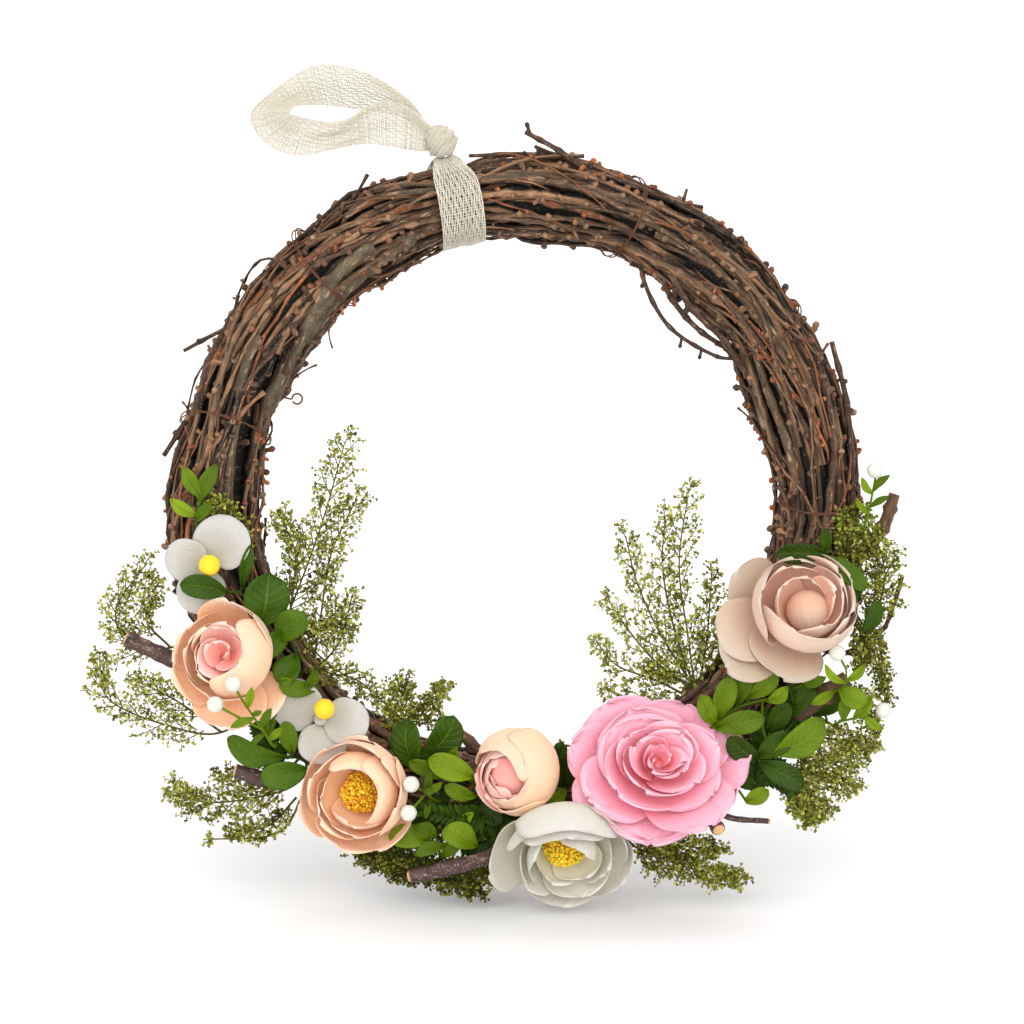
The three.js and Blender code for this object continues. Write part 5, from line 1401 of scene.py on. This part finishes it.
def add_spray_stem(form, rng, tone, first, branches, reach, path, start=0.08):
    """One feathery stem. Side branches leave it in turn to the left and right, shorter towards the
    tip; each carries twiglets along its outer part, and every twiglet bears a few cup-like
    florets."""
    path = in_threes(path)
    line = smooth_path([root_below(path[0]), *path] if first else path, STEM_STEPS)
    add_tubes(form, line, np.linspace(0.6, 0.3, STEM_STEPS), 5, STEM_TINT)
    curve = smooth_path(path, CURVE_STEPS + 1)
    branches = int(branches * FULLNESS)
    part = start + (1 - start) * (np.arange(branches) + 0.6) / branches
    here = (part * CURVE_STEPS).astype(int)
    root = curve[here]
    ahead = unit(curve[np.minimum(here + 4, CURVE_STEPS)] - curve[np.maximum(here - 4, 0)])
    aside = unit(np.cross(FRONT, ahead))
    hand = turns(branches)[:, None]
    forward = rng.uniform(0.8, 1.9, (branches, 1))
    forward[-1] = 6
    depth = FRONT * rng.normal(0.1, 0.35, (branches, 1))
    direction = unit(ahead * forward + hand * aside + depth)
    length = (reach * (1.1 - 0.5 * part) * rng.uniform(0.6, 1.05, branches))[:, None]
    fall = rng.uniform(0.08, 0.3, (branches, 1)) * np.where(forward > 3, 0, 1)
    step = np.linspace(0, 1, BRANCH_KNOTS)[None, :, None]
    arc = direction[:, None] * step + (ahead * fall)[:, None] * step ** 2
    arc = root[:, None] + arc * length[:, None]
    add_tubes(form, arc, np.linspace(0.36, 0.2, BRANCH_KNOTS)[None], 3, STEM_TINT)

    out = np.linspace(0.18, 1, TWIGLETS)
    spot = (out * (BRANCH_KNOTS - 1)).clip(0, BRANCH_KNOTS - 1.001)
    cell = spot.astype(int)
    base = arc[:, cell] + (arc[:, cell + 1] - arc[:, cell]) * (spot - cell)[None, :, None]
    sway = turns(TWIGLETS)[None, :, None]
    across = unit(np.cross(FRONT, direction))[:, None]
    turn = unit(direction[:, None] * 0.8 + across * sway * 0.9 + rng.normal(0, 0.45, base.shape))
    small = rng.uniform(1.4, 4.0, base.shape[:2] + (1,)) * np.where(length[:, None] > 9, 1.2, 0.95)
    tip = base + turn * small
    base, tip, turn = (values.reshape(-1, 3) for values in (base, tip, turn))
    add_tubes(form, np.stack([base, tip], axis=1), 0.17, 3, STEM_TINT)
    light = np.repeat(rng.normal(tone, 0.12, branches), TWIGLETS)
    for along, spread in FLORET_PLACES[:3 if tone > MOSSY_TONE else 4]:
        off = rng.normal(0, spread, tip.shape)
        places = base + (tip - base) * along + off * 0.75
        facing = unit(turn + off * 0.9 + rng.normal(0, 0.3, tip.shape))
        tint = (rng.uniform(0.1, 0.95, len(tip)) + light).clip(0, 1)
        add_copies(form, FLORET, places, facing, rng.uniform(0.5, 0.98, len(tip)), tint)


def make_sprays():
    """Sprays of stems, of which the first one comes out of the twigs. Their faces stay flat."""
    greens = [(0, 46, 48, 8), (0.3, 94, 98, 24), (0.7, 144, 146, 50), (1, 192, 190, 96)]
    olive = grainy_finish("green floret", greens, 700, 0.7, 0.0001, Subsurface_Weight=0.05,
                          Specular_IOR_Level=0.25)
    for name, (seed, tone, stems) in SPRAYS.items():
        rng = np.random.default_rng(seed)
        form = Form()
        for number, stem in enumerate(stems):
            add_spray_stem(form, rng, tone, number == 0, *stem)
        make_piece(f"florets_{name}", form, olive, [f"spray_{name}"], smooth=False)


make_sprays()


# Cut sticks

def make_sticks():
    """Short lengths of branch with rough bark, speckled, and a pale cut at the end."""
    stops = [(0, 62, 46, 44), (0.4, 92, 70, 66), (0.8, 122, 98, 88), (1, 214, 152, 98)]
    bark = bark_finish("stick bark", stops, 0.7)
    sticks = {
        "left": (3.6, -128, -8, -74, -146, -13, -66, -165, -14, -57),
        "low_left": (3.4, -92, -8, -116, -104, -20, -117, -118, -22, -113),
        "low": (3.3, 8, -8, -140, -8, -24, -149, -26, -27, -154, -44, -27, -158),
        "low_right": (1.3, 74, -6, -116, 90, -14, -133, 111, -16, -136),
        "stub": (3.1, 78, -10, -122, 84, -22, -131, 88, -34, -137)}
    rng = np.random.default_rng(61)
    for name, (radius, *points) in sticks.items():
        form = Form()
        path = smooth_path(in_threes(points), 60)
        part = np.linspace(0, 1, 60)
        knobs = 1 + 0.1 * np.sin(13 * part + rng.uniform(0, 6)) * np.sin(29 * part)
        radii = radius * knobs * (1.04 - 0.1 * part)
        radii[-2:] *= [0.86, 0.5]
        tints = np.where(part > 0.98, 0.97, 0.3)[None]
        add_tubes(form, path, radii, 14, tints)
        replaces = [] if name == "stub" else [f"cut_stick_{name}"]
        make_piece(f"stick_{name}", form, bark, replaces)


make_sticks()


# Floor

def make_floor():
    """A pale paper sweep: flat in front, rising gently behind the wreath, then curving upright."""
    low = min(cad_box[0][2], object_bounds()[0][2]) - 0.0003
    bend = np.linspace(0, np.pi / 2, 17)
    flat = 0.05 + np.arange(14) * 0.1
    depth = np.concatenate([[-3.0, -0.04], flat, 1.4 + 0.8 * np.sin(bend), [2.2]])
    rise = 0.24 * np.maximum(depth + 0.02, 0)
    height = np.concatenate([np.zeros(16), 0.8 * (1 - np.cos(bend)), [4.0]]) + rise + low
    across = np.array([-5.0, 5.0])
    points = np.stack(np.broadcast_arrays(across[:, None], depth, height), -1).reshape(-1, 3)
    index = np.arange(len(points)).reshape(2, -1)
    faces = quads(index[0, :-1], index[1, :-1], index[1, 1:], index[0, 1:])
    mesh = bpy.data.meshes.new("floor")
    mesh.from_pydata(points.tolist(), [], faces.tolist())
    mesh.polygons.foreach_set("use_smooth", np.full(len(faces), True))
    floor = bpy.data.objects.new("floor", mesh)
    bpy.context.scene.collection.objects.link(floor)
    paper = Finish("white paper", Roughness=0.9, Specular_IOR_Level=0.1)
    pale, dull = (0.93, 0.93, 0.93, 1), (0.86, 0.86, 0.86, 1)
    paper.colour(paper.mixed(paper.noise(40, 2) * 0.04, pale, dull))
    mesh.materials.append(paper.material)


make_floor()
